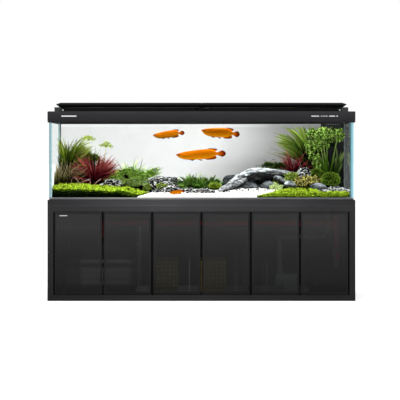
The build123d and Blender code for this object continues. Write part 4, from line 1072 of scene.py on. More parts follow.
sword = Foliage(25)
sword_root = (0.766, 0.185, RIGHT_TERRACE + 0.10)
clump(sword, sword_root, 0.012, 40, (0.27, 0.37), (0.12, 0.72), (0.25, 0.95), 0.017, sword_shape, (2.75, 3.6), 0.08)
clump(sword, sword_root, 0.012, 18, (0.24, 0.33), (0.45, 1.0), (0.1, 0.6), 0.014, sword_shape, (2.8, 3.6), 0.05)
clump(sword, sword_root, 0.012, 20, (0.28, 0.39), (0.0, 0.35), (0.1, 0.6), 0.017, sword_shape, (-0.6, 3.7), 0.06)
clump(sword, sword_root, 0.012, 10, (0.26, 0.36), (0.6, 1.15), (0.1, 0.5), 0.008, grass_shape, (2.8, 3.5), 0.03)
sword.build("sword_leaves", LEAF["sword_green"], slot="leaf_green")

# Olive grass before the tall grass, and broad olive leaves in the right rear corner
olive = Foliage(23)
clump(olive, (-0.935, -0.10, LEFT_TERRACE), 0.03, 120, (0.08, 0.185), (0.0, 0.7), (0.1, 0.9), 0.0085, rise=0.02)
clump(olive, (-0.885, -0.085, LEFT_TERRACE), 0.05, 100, (0.07, 0.165), (0.0, 0.8), (0.1, 0.9), 0.0085, rise=0.02)
clump(olive, (-0.84, -0.08, LEFT_TERRACE), 0.04, 40, (0.06, 0.12), (0.0, 1.0), (0.1, 0.8), 0.009, rise=0.02)
clump(olive, (-0.960, -0.17, LEFT_TERRACE), 0.012, 44, (0.06, 0.135), (0.0, 0.4), (0.0, 0.5), 0.008, rise=0.01, fan=1.2)
olive.build("olive_grass", LEAF["olive_leaf"], slot="leaf_green")

broad = Foliage(27)
broad_root = (0.893, 0.06, RIGHT_TERRACE + 0.05)
clump(broad, broad_root, 0.02, 18, (0.15, 0.23), (0.15, 0.75), (-0.5, 0.3), 0.013, sword_shape, (-0.7, 0.6), 0.03)
broad_root = (0.87, 0.06, RIGHT_TERRACE + 0.05)
clump(broad, broad_root, 0.02, 26, (0.12, 0.21), (0.0, 0.7), (0.1, 0.8), 0.012, sword_shape, rise=0.04)
broad.build("broad_leaves", LEAF["broad_green"], slot="leaf_green")

# Red clumps
red = Foliage(31)
red_root = (-0.716, -0.03, LEFT_TERRACE + 0.012)
clump(red, red_root, 0.012, 100, (0.15, 0.235), (0.15, 1.2), (0.0, 0.35), 0.0105, rise=0.035, fan=0.6)
clump(red, red_root, 0.015, 50, (0.14, 0.21), (0.75, 1.35), (-0.1, 0.3), 0.0112, turn=(2.5, 3.9), rise=0.04)
clump(red, red_root, 0.015, 46, (0.14, 0.215), (0.55, 1.15), (-0.1, 0.3), 0.0105, turn=(-0.6, 0.6), rise=0.04)
clump(red, red_root, 0.035, 90, (0.10, 0.195), (0.0, 0.5), (0.2, 0.9), 0.0095, rise=0.03, fan=0.8)
clump(red, red_root, 0.02, 50, (0.10, 0.19), (0.7, 1.45), (0.0, 0.4), 0.011, rise=0.03, fan=0.6)
red_root = (-0.716, -0.05, LEFT_TERRACE + 0.012)
clump(red, red_root, 0.03, 80, (0.09, 0.18), (0.0, 0.5), (0.0, 0.5), 0.0095, rise=0.03, fan=0.5)
red_root = (0.638, 0.15, RIGHT_TERRACE + 0.055)
clump(red, red_root, 0.015, 34, (0.09, 0.17), (0.0, 0.4), (0.0, 0.4), 0.009, rise=0.045, fan=0.5)
clump(red, red_root, 0.012, 80, (0.12, 0.195), (0.05, 1.3), (0.0, 0.35), 0.0105, rise=0.045, fan=0.5)
red.build("red_leaves", LEAF["crimson_leaf"], slot="leaf_red")
dress("red_plants", LEAF["crimson_leaf"])

# Bushes
fine = Foliage(41)
leaf_cloud(fine, (-0.825, 0.12, 0.935), (0.075, 0.05, 0.05), 900, 0.020, 0.008, 0.25)
leaf_cloud(fine, (-0.785, 0.09, 0.915), (0.055, 0.04, 0.045), 560, 0.020, 0.009, 0.25)
leaf_cloud(fine, (-0.815, 0.09, 0.97), (0.045, 0.03, 0.03), 300, 0.020, 0.009, 0.25)
leaf_cloud(fine, (-0.735, 0.09, 0.898), (0.06, 0.045, 0.045), 620, 0.020, 0.009, 0.25)
clump(fine, (-0.73, 0.09, 0.90), 0.04, 26, (0.06, 0.12), (0.0, 0.8), (0.0, 0.5), 0.006)
fine_tips = ((-0.83, 0.12, 0.93), (-0.77, 0.12, 0.95), (-0.73, 0.12, 0.96))
stalks(fine, (-0.78, 0.13, LEFT_TERRACE - 0.004), fine_tips, 0.004)
fine.build("fine_bush", LEAF["fine_green"], slot="bush_green")


def mound_of(foliage, middle, radii, count, lengths, leaflet, width, lift):
    """Fronds that leave an ellipsoid's surface and point outwards."""
    pick = foliage.random
    for _ in range(count):
        heading = pick.uniform(-math.pi, math.pi) if pick.random() < 0.3 else -math.pi / 2 + pick.gauss(0, 1.0)
        tilt = math.acos(pick.uniform(lift, 1))
        out = Vector((math.cos(heading) * math.sin(tilt), math.sin(heading) * math.sin(tilt), math.cos(tilt)))
        foot = Vector(middle) + stretched(out, radii)
        foliage.frond(foot, heading, tilt + pick.uniform(-0.2, 0.3), pick.uniform(*lengths), 0.6, 5, leaflet, width)


def sprays(foliage, root, count, headings, leans, lengths, leaflet, width):
    """Long fronds from one root."""
    pick = foliage.random
    for _ in range(count):
        foot = Vector(root) + Vector((pick.uniform(-0.03, 0.03), pick.uniform(-0.03, 0.03), 0))
        heading, lean, length = pick.uniform(*headings), pick.uniform(*leans), pick.uniform(*lengths)
        foliage.frond(foot, heading, lean, length, 0.55, 8, leaflet, width)


fern = Foliage(43)
mound_of(fern, (-0.50, 0.03, LEFT_TERRACE), (0.105, 0.06, 0.085), 230, (0.03, 0.06), 0.026, 0.0088, 0.1)
mound_of(fern, (-0.415, 0.04, LEFT_TERRACE), (0.06, 0.04, 0.06), 100, (0.03, 0.06), 0.025, 0.0088, 0.1)
mound_of(fern, (-0.585, -0.02, LEFT_TERRACE + 0.02), (0.05, 0.03, 0.035), 46, (0.025, 0.05), 0.022, 0.0085, 0.1)
sprays(fern, (-0.41, 0.06, LEFT_TERRACE + 0.03), 64, (-0.5, 0.6), (0.6, 1.05), (0.09, 0.155), 0.027, 0.0095)
clump(fern, (-0.47, 0.06, LEFT_TERRACE + 0.08), 0.06, 30, (0.06, 0.12), (0.1, 1.0), (0.1, 0.7), 0.008)
fern.build("fern_leaves", LEAF["fern_green"], replaces=("bushes",), slot="bush_green")

mid_fern = Foliage(44)
mid_ground = sand_level(0.14) - 0.004
mound_of(mid_fern, (0.075, 0.13, mid_ground), (0.055, 0.04, 0.04), 90, (0.03, 0.055), 0.020, 0.009, 0.1)
mound_of(mid_fern, (-0.07, 0.13, mid_ground), (0.09, 0.04, 0.04), 130, (0.03, 0.06), 0.020, 0.009, 0.1)
clump(mid_fern, (-0.045, 0.12, mid_ground), 0.04, 150, (0.06, 0.125), (0.0, 1.2), (0.1, 0.5), 0.0085)
clump(mid_fern, (0.06, 0.12, mid_ground), 0.04, 70, (0.05, 0.10), (0.0, 1.2), (0.1, 0.5), 0.008)
clump(mid_fern, (-0.14, 0.12, mid_ground), 0.03, 50, (0.04, 0.075), (0.2, 1.3), (0.1, 0.5), 0.008)
mid_fern.build("mid_fern", LEAF["mid_green"], slot="bush_green")

dark = Foliage(45)
sprays(dark, (0.57, 0.19, RIGHT_TERRACE - 0.004), 64, (2.7, 3.6), (0.25, 0.75), (0.14, 0.23), 0.030, 0.013)
leaf_cloud(dark, (0.535, 0.15, 0.852), (0.05, 0.03, 0.032), 420, 0.022, 0.010, 0.2)
leaf_cloud(dark, (0.465, 0.15, 0.866), (0.045, 0.02, 0.02), 220, 0.022, 0.010, 0.2)
dark.build("dark_fern", LEAF["dark_fern"], slot="bush_green")

# Two umbels of small tufts on thin stalks
umbel = Foliage(47)
for foot, head, reach in (
    ((-0.75, 0.13, LEFT_TERRACE - 0.004), Vector((-0.770, 0.12, 1.044)), 0.047),
    ((-0.70, 0.13, LEFT_TERRACE - 0.004), Vector((-0.648, 0.12, 0.998)), 0.045),
):
    stalks(umbel, foot, (head,), 0.0022)
    for n in range(22):
        turn = 2.4 * n
        away = math.sqrt(n / 22)
        lift = 0.026 * (1 - away * away) + umbel.random.uniform(-0.003, 0.006)
        tip = head + Vector((math.cos(turn) * away * reach, math.sin(turn) * away * reach * 0.6, lift))
        stalks(umbel, head, (tip,), 0.0008)
        leaf_cloud(umbel, tip, (0.006, 0.006, 0.004), 12, 0.0115, 0.0058, 0.1)
umbel.build("umbels", LEAF["umbel_green"], slot="bush_green")

# Bright bush on its stems, at the right
bright = Foliage(51)
CANOPY = (
    ((0.752, -0.02, 1.082), (0.038, 0.03, 0.034), 26),
    ((0.842, -0.02, 1.098), (0.050, 0.035, 0.030), 32),
    ((0.918, -0.02, 1.078), (0.038, 0.035, 0.048), 32),
    ((0.722, -0.02, 0.995), (0.036, 0.03, 0.040), 22),
    ((0.802, -0.03, 1.012), (0.058, 0.035, 0.040), 34),
    ((0.820, -0.03, 1.058), (0.062, 0.035, 0.036), 34),
    ((0.768, -0.01, 0.934), (0.042, 0.025, 0.022), 14),
    ((0.776, 0.0, 0.887), (0.026, 0.02, 0.020), 8),
)
bush_foot = (0.846, 0.022, RIGHT_TERRACE - 0.004)
for middle, radii, count in CANOPY:
    stalks(bright, bush_foot, (middle,), 0.004)
    rosettes(bright, middle, radii, count, 0.021, 0.0098, 6)
bright.build("bright_bush", LEAF["bush_leaf"], slot="bush_green")


# Moss: a ball on the sand and two cushions on the right bank
def moss_cushion(name, seed, middle, radii, count, lengths, width, mat):
    """A lumpy core in an ellipsoid's shape with short blades all over it."""
    work = bmesh.new()
    bmesh.ops.create_icosphere(work, subdivisions=5, radius=1.0)
    moss = Foliage(seed)
    skin = []
    for vertex in work.verts:
        out = vertex.co.copy()
        lump = 1 + 0.10 * noise.noise(out * 2.2 + Vector(middle) * 9) + 0.05 * noise.noise(out * 7.0)
        vertex.co = Vector(middle) + stretched(out, radii) * lump
        skin.append((vertex.co.copy(), Vector(o / r for o, r in zip(out, radii)).normalized()))
    add_piece(name + "_core", finished(work, name + "_core", True), moss_core)
    for place, normal in moss.random.choices(skin, k=count):
        if normal.z > -0.5:
            heading = math.atan2(normal.y, normal.x) + moss.random.uniform(-0.6, 0.6)
            lean = math.acos(max(-1, min(1, normal.z))) + moss.random.uniform(-0.5, 0.4)
            drift = Vector((moss.random.uniform(-1, 1), moss.random.uniform(-1, 1), 0)) * 0.0015
            foot = place + drift - normal * 0.002
            moss.blade(foot, heading, lean, moss.random.uniform(*lengths), 0.5, width, steps=2)
    moss.build(name, mat, slot="bush_green")


moss_core = satin_material("moss_core", (30, 42, 7), 0.95, grain=260, strength=0.9, drift=0.5, specular=0.0)
moss_green, bright_moss = LEAF["moss_green"], LEAF["bright_moss"]
ball_middle = (0.094, 0.062, sand_level(0.062) + 0.020)
moss_cushion("moss_near", 61, (0.8665, -0.056, 0.776), (0.058, 0.042, 0.050), 2600, (0.007, 0.014), 0.0066, moss_green)
moss_cushion("moss_far", 62, (0.777, 0.004, 0.784), (0.058, 0.042, 0.066), 2600, (0.007, 0.014), 0.0066, moss_green)
moss_cushion("moss_ball", 63, ball_middle, (0.044, 0.036, 0.025), 3400, (0.003, 0.006), 0.0048, bright_moss)


# Stones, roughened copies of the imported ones
def stone_rise(place):
    """How far a stone's chips rise at a place."""
    return noise.noise(place * 22.0) * 0.007 + noise.noise(place * 70.0) * 0.0025 - 0.002


SPECKLED_STONES = ((-0.590, -0.078), (-0.215, -0.04), (-0.2, 0.15), (-0.105, -0.07), (0.697, 0.0))
SHADED_STONE = (0.215, 0.175)


def is_speckled(place):
    """Keeps the speckled stones."""
    return any(abs(place.x - x) < 0.09 and abs(place.y - y) < 0.06 for x, y in SPECKLED_STONES)


def is_shaded(place):
    """Keeps the stone behind the driftwood, which is painted dark as the shade under the arch."""
    return abs(place.x - SHADED_STONE[0]) < 0.08 and abs(place.y - SHADED_STONE[1]) < 0.06


def is_grey(place):
    """Keeps the other stones."""
    return not is_speckled(place) and not is_shaded(place)


def widened(mesh, middle, span, share):
    """Spreads the part of a mesh near one place along X."""
    for vertex in mesh.vertices:
        if abs(vertex.co.x - middle) < span:
            vertex.co.x = middle + (vertex.co.x - middle) * share
    return mesh


speckled = widened(solid_copy("stones_speckled", "stones", is_speckled, 0.004, stone_rise), 0.697, 0.06, 1.3)
add_piece("stones_speckled", speckled, stone_speckled, replaces=("stones",))
add_piece("stones_grey", solid_copy("stones_grey", "stones", is_grey, 0.004, stone_rise), stone_grey)
dark_stone = widened(solid_copy("stone_far", "stones", is_shaded, 0.004, stone_rise), SHADED_STONE[0], 0.08, 1.25)
add_piece("stone_far", dark_stone, shaded_stone)


# Driftwood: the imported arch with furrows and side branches
def wood_rise(place):
    """How far the wood's furrows rise at a place."""
    along = Vector((place.x * 14.0, place.y * 60.0, place.z * 50.0))
    return noise.noise(along) * 0.007 + noise.noise(place * 120.0) * 0.0012


arch = solid_copy("driftwood_arch", "driftwood", everything, 0.0045, wood_rise)
add_piece("driftwood_arch", arch, wood_grey, replaces=("driftwood",))


def limbs(name, seed, mat, sides, lines):
    """Round limbs as one piece. lines are (points, radii)."""
    wood = Foliage(seed)
    for line, radii in lines:
        wood.stem([Vector(point) for point in line], radii, sides=sides)
    wood.build(name, mat, slot="wood_grey")


limbs("driftwood_branches", 71, wood_grey, 10, (
    (((0.125, -0.03, 0.7), (0.18, -0.02, 0.722), (0.24, 0.0, 0.75), (0.3, 0.015, 0.795)), (0.012, 0.026, 0.034, 0.024)),
    (((0.16, 0.05, 0.70), (0.21, 0.06, 0.742), (0.27, 0.07, 0.782), (0.33, 0.05, 0.80)), (0.012, 0.02, 0.024, 0.02)),
    (((0.5, 0.055, 0.80), (0.55, 0.03, 0.775), (0.6, 0.01, 0.735)), (0.022, 0.018, 0.012)),
))
# Dark limbs behind the stones under the arch: painted shade that fills the hollow there
limbs("driftwood_shade", 72, shaded_wood, 12, (
    (((0.27, 0.10, 0.700), (0.36, 0.11, 0.765), (0.46, 0.12, 0.795), (0.58, 0.12, 0.80)), (0.030, 0.044, 0.048, 0.04)),
    (((0.36, 0.10, 0.700), (0.42, 0.11, 0.730), (0.50, 0.12, 0.745)), (0.030, 0.036, 0.036)),
))

# Twigs before the red clump
twigs = Foliage(73)
for start, end in (
    ((-0.875, -0.13, LEFT_TERRACE), (-0.855, -0.13, 0.802)),
    ((-0.855, -0.13, 0.802), (-0.81, -0.13, 0.765)),
    ((-0.83, -0.13, LEFT_TERRACE + 0.008), (-0.735, -0.13, 0.788)),
    ((-0.745, -0.13, 0.782), (-0.735, -0.13, 0.752)),
    ((-0.715, -0.13, LEFT_TERRACE + 0.008), (-0.665, -0.13, 0.788)),
):
    start, end = Vector(start), Vector(end)
    middle = (start + end) / 2 + Vector((0.004, 0, 0.006))
    twigs.stem([start, middle, end], [0.0042, 0.0036, 0.0028])
twigs.build("twigs", LEAF["twig_brown"], slot="wood_grey")


# Low plants on the right bank and among the stones
yellow = Foliage(81)
rosettes(yellow, (0.71, -0.043, RIGHT_TERRACE + 0.046), (0.098, 0.012, 0.034), 66, 0.0165, 0.0085, 7)
yellow_tips = [(x, -0.043, RIGHT_TERRACE + 0.05) for x in (0.63, 0.66, 0.69, 0.72, 0.75, 0.78)]
stalks(yellow, (0.70, -0.043, RIGHT_TERRACE - 0.004), yellow_tips, 0.003)
yellow.build("yellow_plants", LEAF["yellow_leaf"], slot="bush_green")
lime = Foliage(82)
rosettes(lime, (0.615, -0.01, RIGHT_TERRACE + 0.066), (0.055, 0.022, 0.034), 40, 0.0165, 0.0085, 7)
lime_tips = [(x, -0.01, RIGHT_TERRACE + 0.06) for x in (0.58, 0.61, 0.64)]
stalks(lime, (0.61, -0.01, RIGHT_TERRACE - 0.004), lime_tips, 0.003)
rosettes(lime, (0.505, 0.06, sand_level(0.06) + 0.03), (0.026, 0.02, 0.052), 20, 0.015, 0.0075, 7)
rosettes(lime, (-0.262, -0.060, sand_level(0.0) + 0.036), (0.036, 0.010, 0.015), 20, 0.012, 0.006, 7)
rosettes(lime, (-0.36, -0.03, LEFT_TERRACE - 0.01), (0.03, 0.02, 0.025), 12, 0.015, 0.0075, 7)
lime.build("lime_plants", LEAF["lime_leaf"], slot="bush_green")
cress = Foliage(83)
rosettes(cress, (0.503, -0.03, sand_level(-0.03) + 0.006), (0.056, 0.03, 0.055), 90, 0.0105, 0.006, 6)
cress.build("cress", LEAF["cress_green"], slot="bush_green")


# Pebbles
def pebble_mesh(name, places, seed, fine=2, rough=0.16):
    """Rounded stones at the given places and sizes."""
    pick = random.Random(seed)
    work = bmesh.new()
    for place, size in places:
        turn = Matrix.Rotation(pick.uniform(0, 6.28), 4, "Z") @ Matrix.Rotation(pick.uniform(-0.4, 0.4), 4, "X")
        shape = Matrix.Diagonal((size, size * pick.uniform(0.65, 0.9), size * pick.uniform(0.5, 0.7), 1))
        made = bmesh.ops.create_icosphere(work, subdivisions=fine, radius=0.5)["verts"]
        for vertex in made:
            vertex.co *= 1 + rough * noise.noise(vertex.co * 3 + Vector(place) * 50)
        bmesh.ops.transform(work, matrix=Matrix.Translation(place) @ turn @ shape, verts=made)
    return finished(work, name, True)


# Single stones: place along X and Y, height above the ground, size
BOULDERS = ((-0.276, 0.01, 0.046, 0.170), (-0.335, 0.05, 0.012, 0.07))
COBBLES = ((0.5916, -0.078, 0.024, 0.086), (0.7804, -0.128, 0.008, 0.108))

pick = random.Random(91)
heap = []
for place, normal in surface_samples("carpets", 1000, 90, on_top):
    if place.x > 0.775 and not planted(place):
        crown = max(0, 1 - abs(place.x - 0.885) / 0.09) * 0.020
        size = pick.uniform(0.013, 0.022)
        heap.append((thinned(place) + UP * pick.uniform(0.1, 1) * crown, size))
add_piece("pebble_heap", pebble_mesh("pebble_heap", heap, 92), pebble_pale)

boulders = [(Vector((x, y, sand_level(y) + lift)), size) for x, y, lift, size in BOULDERS]
add_piece("boulders", pebble_mesh("boulders", boulders, 94, 4, 0.07), stone_speckled)
cobbles = [(Vector((x, y, RIGHT_TERRACE + lift)), size) for x, y, lift, size in COBBLES]
add_piece("cobbles", pebble_mesh("cobbles", cobbles, 95, 4), stone_pale)

scattered = []
for count, across, deep, sizes in (
    (70, (-0.36, 0.06), (-0.1, 0.06), (0.012, 0.034)),
    (26, (-0.1, 0.12), (-0.13, -0.06), (0.01, 0.028)),
    (30, (0.12, 0.5), (-0.11, -0.03), (0.007, 0.018)),
):
    for _ in range(count):
        y = pick.uniform(*deep)
        size = pick.uniform(*sizes)
        x = pick.uniform(*across)
        scattered.append((Vector((x, y, sand_level(y) + sand_swell(x, y) + size * 0.3)), size))
add_piece("pebbles", pebble_mesh("pebbles", scattered, 93), stone_speckled)


# Fish
def scale_material(name, share):
    """Golden-orange scales, darker along the fins' edges. share scales the tone."""
    mat, shader = new_material(name, srgb(190, 104, 2), 0.5, specular=0.01)
    cells = add_node(mat, "ShaderNodeTexVoronoi", {"Scale": 150.0}, feature="DISTANCE_TO_EDGE")
    join(mat, place_of(mat), cells.inputs["Vector"])
    scales = ramp_of(mat, cells.outputs["Distance"], ((0.0, srgb(154, 76, 0)), (0.22, srgb(180, 99, 2))))
    belly = mix_of(mat, attribute_of(mat, "pick"), scales, srgb(216, 140, 10))
    stops = ((0.0, WHITE), (0.5, srgb(246, 206, 170)), (0.78, srgb(170, 104, 76)), (1.0, srgb(44, 26, 24)))
    edge = ramp_of(mat, attribute_of(mat, "along"), stops)
    tone = scaled_by(mat, mix_of(mat, 1.0, belly, edge, "MULTIPLY"), share)
    paint(mat, shader, tone)
    add_bump(mat, shader, cells.outputs["Distance"], 0.4, 0.0012)
    return mat


def eye_material():
    """A dark, glossy eye."""
    mat, shader = new_material("fish_eye", srgb(20, 16, 14), 0.1)
    tone = ramp_of(mat, noise_of(mat, 300.0), ((0.3, srgb(10, 8, 8)), (0.8, srgb(60, 44, 30))))
    paint(mat, shader, tone)
    return mat


fish_gold = scale_material("fish_gold", 1.06)
# A darker copy for the fish under the left lamp: painted shade
fish_gold_shaded = scale_material("fish_gold_shaded", 0.52)
fish_eye = eye_material()

# A fish's outline from snout to tail root: place, back, belly and half width as shares of its length
FISH_SECTIONS = (
    (0.000, 0.000, -0.016, 0.005),
    (0.030, 0.014, -0.044, 0.016),
    (0.080, 0.031, -0.078, 0.027),
    (0.160, 0.051, -0.106, 0.036),
    (0.260, 0.068, -0.119, 0.042),
    (0.380, 0.083, -0.117, 0.043),
    (0.500, 0.095, -0.110, 0.041),
    (0.600, 0.103, -0.100, 0.036),
    (0.690, 0.100, -0.080, 0.027),
    (0.760, 0.068, -0.052, 0.017),
    (0.805, 0.040, -0.032, 0.010),
    (0.850, 0.031, -0.027, 0.005),
)


def fin_fan(root_line, tips, rings=6):
    """Points and faces of a fin between its root line and its tips."""
    verts, faces, along = [], [], []
    for n in range(rings + 1):
        share = n / rings
        for foot, tip in zip(root_line, tips):
            verts.append(foot.lerp(tip, share))
            along.append(0.2 + 0.8 * share)
    wide = len(root_line)
    for n in range(rings):
        for k in range(wide - 1):
            a = n * wide + k
            faces.append((a, a + 1, a + 1 + wide, a + wide))
    return verts, faces, along


def fish_fins():
    """Root lines and tips of all fins, as shares of the fish's length."""
    fins = []
    tail_tips = []
    for n in range(9):
        turn = math.radians(-66 + 132 * n / 8)
        wave = 0.004 * math.sin(5 * turn)
        tail_tips.append(Vector((0.875 + 0.125 * math.cos(turn), wave, 0.002 + 0.076 * math.sin(turn))))
    fins.append(([Vector((0.835, 0, -0.028 + 0.0072 * n)) for n in range(9)], tail_tips))
    back_root, back_tips, anal_root, anal_tips = [], [], [], []
    for n in range(11):
        share = n / 10
        bow = math.sqrt(max(0.0, 1 - (2 * share - 1) ** 4))
        back_root.append(Vector((0.60 + 0.19 * share, 0, 0.098 - 0.046 * share**2)))
        back_tips.append(Vector((0.63 + 0.205 * share, 0.003, 0.098 + 0.018 * bow - 0.012 * share**4)))
        anal_root.append(Vector((0.55 + 0.24 * share, 0, -0.100 + 0.062 * share**1.4)))
        anal_tips.append(Vector((0.58 + 0.235 * share, 0.003, -0.104 - 0.020 * bow + 0.022 * share**3)))
    fins.append((back_root, back_tips))
    fins.append((anal_root, anal_tips))
    for way in (-1, 1):
        chest_root = [Vector((0.20 + 0.005 * n, way * 0.030, -0.088 - 0.004 * n)) for n in range(5)]
        chest_tips = [Vector((0.33 + 0.012 * n, way * (0.05 + 0.004 * n), -0.140 + 0.006 * n)) for n in range(5)]
        fins.append((chest_root, chest_tips))
        hind_root = [Vector((0.42 + 0.006 * n, way * 0.02, -0.104)) for n in range(4)]
        hind_tips = [Vector((0.50 + 0.012 * n, way * 0.03, -0.142 + 0.006 * n)) for n in range(4)]
        fins.append((hind_root, hind_tips))
    return fins


def fish_mesh(name, length, bend):
    """A long fish with its head to the left, fins far back and a rounded tail. bend curves it sideways."""
    around = 20
    verts, faces, along, pick = [], [], [], []
    for place, back, belly, half in FISH_SECTIONS:
        for k in range(around):
            turn = 2 * math.pi * k / around
            lift = math.cos(turn)
            height = (back + belly) / 2 + lift * (back - belly) / 2
            verts.append(Vector((place, math.sin(turn) * half, height)))
            along.append(0.92 * max(0.0, 1 - place / 0.11) if lift > 0.2 else 0.0)
            pick.append(max(0.0, -lift) * 0.8)
    for n in range(len(FISH_SECTIONS) - 1):
        for k in range(around):
            a, b = n * around + k, n * around + (k + 1) % around
            faces.append((a, b, b + around, a + around))
    last = (len(FISH_SECTIONS) - 1) * around
    faces.append(tuple(range(around - 1, -1, -1)))
    faces.append(tuple(range(last, last + around)))
    for root_line, tips in fish_fins():
        start = len(verts)
        fin_verts, fin_faces, fin_along = fin_fan(root_line, tips)
        verts.extend(fin_verts)
        along.extend(fin_along)
        pick.extend([0.0] * len(fin_verts))
        faces.extend(tuple(start + k for k in face) for face in fin_faces)
    shaped = []
    for v in verts:
        sway = bend * math.sin(math.pi * 1.2 * v.x) * v.x
        shaped.append(Vector((v.x - 0.5, v.y + sway, v.z)) * length)
    return with_values(mesh_of(name, shaped, faces), along, pick)


def add_fish(name, place, length, pitch, bend, mat, depth):
    """A fish with eyes, its middle at a place. depth scales its height."""
    body = fish_mesh(name, length, bend)
    work = bmesh.new()
    for way in (-1, 1):
        made = bmesh.ops.create_uvsphere(work, u_segments=14, v_segments=8, radius=0.5)["verts"]
        sway = bend * math.sin(math.pi * 1.2 * 0.07) * 0.07
        middle = Vector((0.07 - 0.5, way * 0.0225 + sway, -0.008)) * length
        size = Matrix.Diagonal((0.028 * length, 0.010 * length, 0.028 * length, 1))
        bmesh.ops.transform(work, matrix=Matrix.Translation(middle) @ size, verts=made)
    eyes = finished(work, name + "_eyes", True)
    pose = Matrix.Translation(place) @ Matrix.Rotation(pitch, 4, "Y") @ Matrix.Diagonal((1, 1, depth, 1))
    body.transform(pose)
    eyes.transform(pose)
    add_piece(name, body, mat)
    add_piece(name + "_eyes", eyes, fish_eye)


# The shoal: place of the middle, length, pitch in degrees, bend, material, share of the height
for number, (place, length, pitch, bend, mat, depth) in enumerate((
    ((-0.218, 0.05, 1.0885), 0.214, -4, 0.02, fish_gold_shaded, 1.1),
    ((0.131, -0.05, 1.0985), 0.258, 7, -0.02, fish_gold, 1.2),
    ((0.0, 0.0, 0.9525), 0.335, -1, 0.02, fish_gold, 0.96),
    ((-0.16, -0.2, 0.7045), 0.098, -3, 0.03, fish_gold, 1.25),
), 1):
    add_fish(f"fish_{number}", place, length, math.radians(pitch), bend, mat, depth)


# Water: its rippled top
def water_material():
    """Clear water that shows only by its gloss."""
    mat, shader = new_material("water_clear", (0.75, 0.88, 0.9, 1), 0.05)
    add_bump(mat, shader, noise_of(mat, 9.0, 3.0), 0.3, 0.01)
    see_through(mat, shader, 0.98, (0.99, 0.995, 0.995, 1))
    return mat


def water_place(across, deep):
    """A point of the water's top, a little inside the panes."""
    x = TANK_LEFT + 0.001 + (TANK_RIGHT - TANK_LEFT - 0.002) * across
    y = TANK_NEAR + 0.001 + (TANK_FAR - TANK_NEAR - 0.002) * deep
    return (x, y, WATER_LEVEL + 0.0012 * noise.noise(Vector((x * 9, y * 12, 0.3))))


add_piece("water_top", sheet_mesh("water_top", 90, 26, water_place), water_material())


# A dark sheet inside the back panel's vents: painted shade that keeps the light behind the stand from showing through
# them
def shade_sheet_place(across, up):
    """A point of the sheet, which is a little wavy."""
    x, z = -0.955 + 1.91 * across, 0.531 + 0.046 * up
    return (x, 0.2845 + 0.0006 * noise.noise(Vector((x * 20, z * 30, 0.7))), z)


shade_sheet_black = satin_material("shade_sheet_black", (16, 16, 17), 0.95, grain=1500, strength=0.8, specular=0.0)
add_piece("vent_shade_sheet", sheet_mesh("vent_shade_sheet", 60, 4, shade_sheet_place), shade_sheet_black)


# Plain plates and marks where the front carries signs
mark_white = satin_material("mark_white", (200, 201, 203), 0.5, specular=0.02)
PLATE_NEAR = STAND_FRONT + 0.0001
PLATE_FAR = STAND_FRONT + 0.0008
MARK_FAR = STAND_FRONT + 0.0005
MARKS = ((0.714, 0.764), (0.776, 0.782), (0.788, 0.794), (0.800, 0.806), (0.812, 0.818), (0.830, 0.868), (0.876, 0.886))


def add_plates(name, boxes, body="stand"):
    """Thin rounded plates as one piece."""
    work = bmesh.new()
    for low, high in boxes:
        one = box_mesh(name, low, high, 0.0001)
        work.from_mesh(one)
        bpy.data.meshes.remove(one)
    add_piece(name, finished(work, name), mark_white, body=body)


add_plates("hood_plate", [((-0.9095, PLATE_NEAR, 1.1970), (-0.812, PLATE_FAR, 1.2045))])
add_plates("door_plate", [((-0.9215, -0.2957, 0.5515), (-0.872, -0.2950, 0.5555))], "door_1")
add_plates("panel_marks", [((start, PLATE_NEAR, 1.1980), (end, MARK_FAR, 1.2035)) for start, end in MARKS])

# Screw heads at the ends of the rim
for number, x in enumerate((-0.906, 0.906)):
    work = bmesh.new()
    bmesh.ops.create_cone(work, segments=24, radius1=0.006, radius2=0.0045, depth=0.003, cap_ends=True)
    turn = Matrix.Translation((x, -0.2335, 1.242)) @ Matrix.Rotation(math.pi / 2, 4, "X")
    bmesh.ops.transform(work, matrix=turn, verts=work.verts)
    name = f"rim_screw_{number}"
    add_piece(name, finished(work, name), pin_steel)

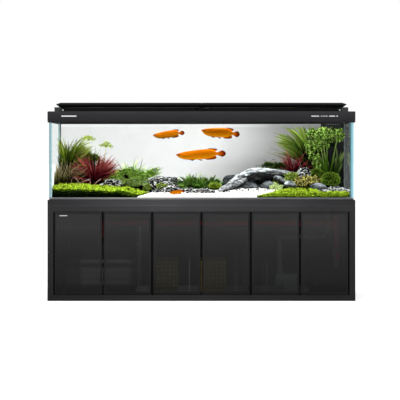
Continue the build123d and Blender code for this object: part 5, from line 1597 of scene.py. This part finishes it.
# Stage, light and camera
FLOOR_REACH = 60
floor_mat, floor_shader = new_material("floor_pale", grey(0.9), 0.9, specular=0.0)
floor_tone = ramp_of(floor_mat, noise_of(floor_mat, 0.6), ((0.3, grey(0.89)), (0.7, grey(0.91))))
paint(floor_mat, floor_shader, floor_tone)
floor_shader.inputs["Emission Color"].default_value = WHITE
floor_shader.inputs["Emission Strength"].default_value = 0.35
corners = [(x * FLOOR_REACH, y * FLOOR_REACH, 0) for x, y in ((-1, -1), (1, -1), (1, 1), (-1, 1))]
floor_mesh = mesh_of("floor", corners, [(0, 1, 2, 3)], smooth=False)
floor = bpy.data.objects.new("floor", floor_mesh)
floor_mesh.materials.append(floor_mat)
scene.collection.objects.link(floor)

world = bpy.data.worlds.new("studio")
world.use_nodes = True
world.node_tree.nodes["Background"].inputs["Color"].default_value = WHITE
world.node_tree.nodes["Background"].inputs["Strength"].default_value = 1.0
scene.world = world


def add_area(name, place, target, size, power):
    """A soft area light aimed at a point."""
    light = bpy.data.lights.new(name, "AREA")
    light.shape = "RECTANGLE"
    light.size, light.size_y = size
    light.energy = power
    lamp = bpy.data.objects.new(name, light)
    lamp.location = place
    lamp.rotation_mode = "QUATERNION"
    lamp.rotation_quaternion = (Vector(target) - Vector(place)).to_track_quat("-Z", "Y")
    scene.collection.objects.link(lamp)


add_area("key", (-1.5, -4.0, 4.5), (-0.2, 0, 0.8), (3.0, 2.0), 90)
add_area("fill", (3.5, -3.0, 3.0), (0.2, 0, 0.6), (2.5, 2.0), 30)

# Camera, from pixels: the picture's width, a metre at the front, straight ahead, the stand's middle and its foot
FRAME_PIXELS = 400
FRONT_SCALE = 153.99
AHEAD_X, AHEAD_Y = 189.0, 146.05
CENTRE_PIXEL = 201.43
FOOT_PIXEL = 300.99
DISTANCE = 8.1
SENSOR = 36
camera_data = bpy.data.cameras.new("camera")
camera_data.sensor_width = SENSOR
camera_data.lens = FRONT_SCALE * DISTANCE / FRAME_PIXELS * SENSOR
camera_data.shift_x = (FRAME_PIXELS / 2 - AHEAD_X) / FRAME_PIXELS
camera_data.shift_y = (AHEAD_Y - FRAME_PIXELS / 2) / FRAME_PIXELS
camera_data.clip_end = 200
camera = bpy.data.objects.new("camera", camera_data)
camera.location.x = (AHEAD_X - CENTRE_PIXEL) / FRONT_SCALE
camera.location.y = STAND_FRONT - DISTANCE
camera.location.z = (FOOT_PIXEL - AHEAD_Y) / FRONT_SCALE
camera.rotation_euler = (math.pi / 2, 0, 0)
scene.collection.objects.link(camera)
scene.camera = camera
scene.view_settings.view_transform = "Standard"
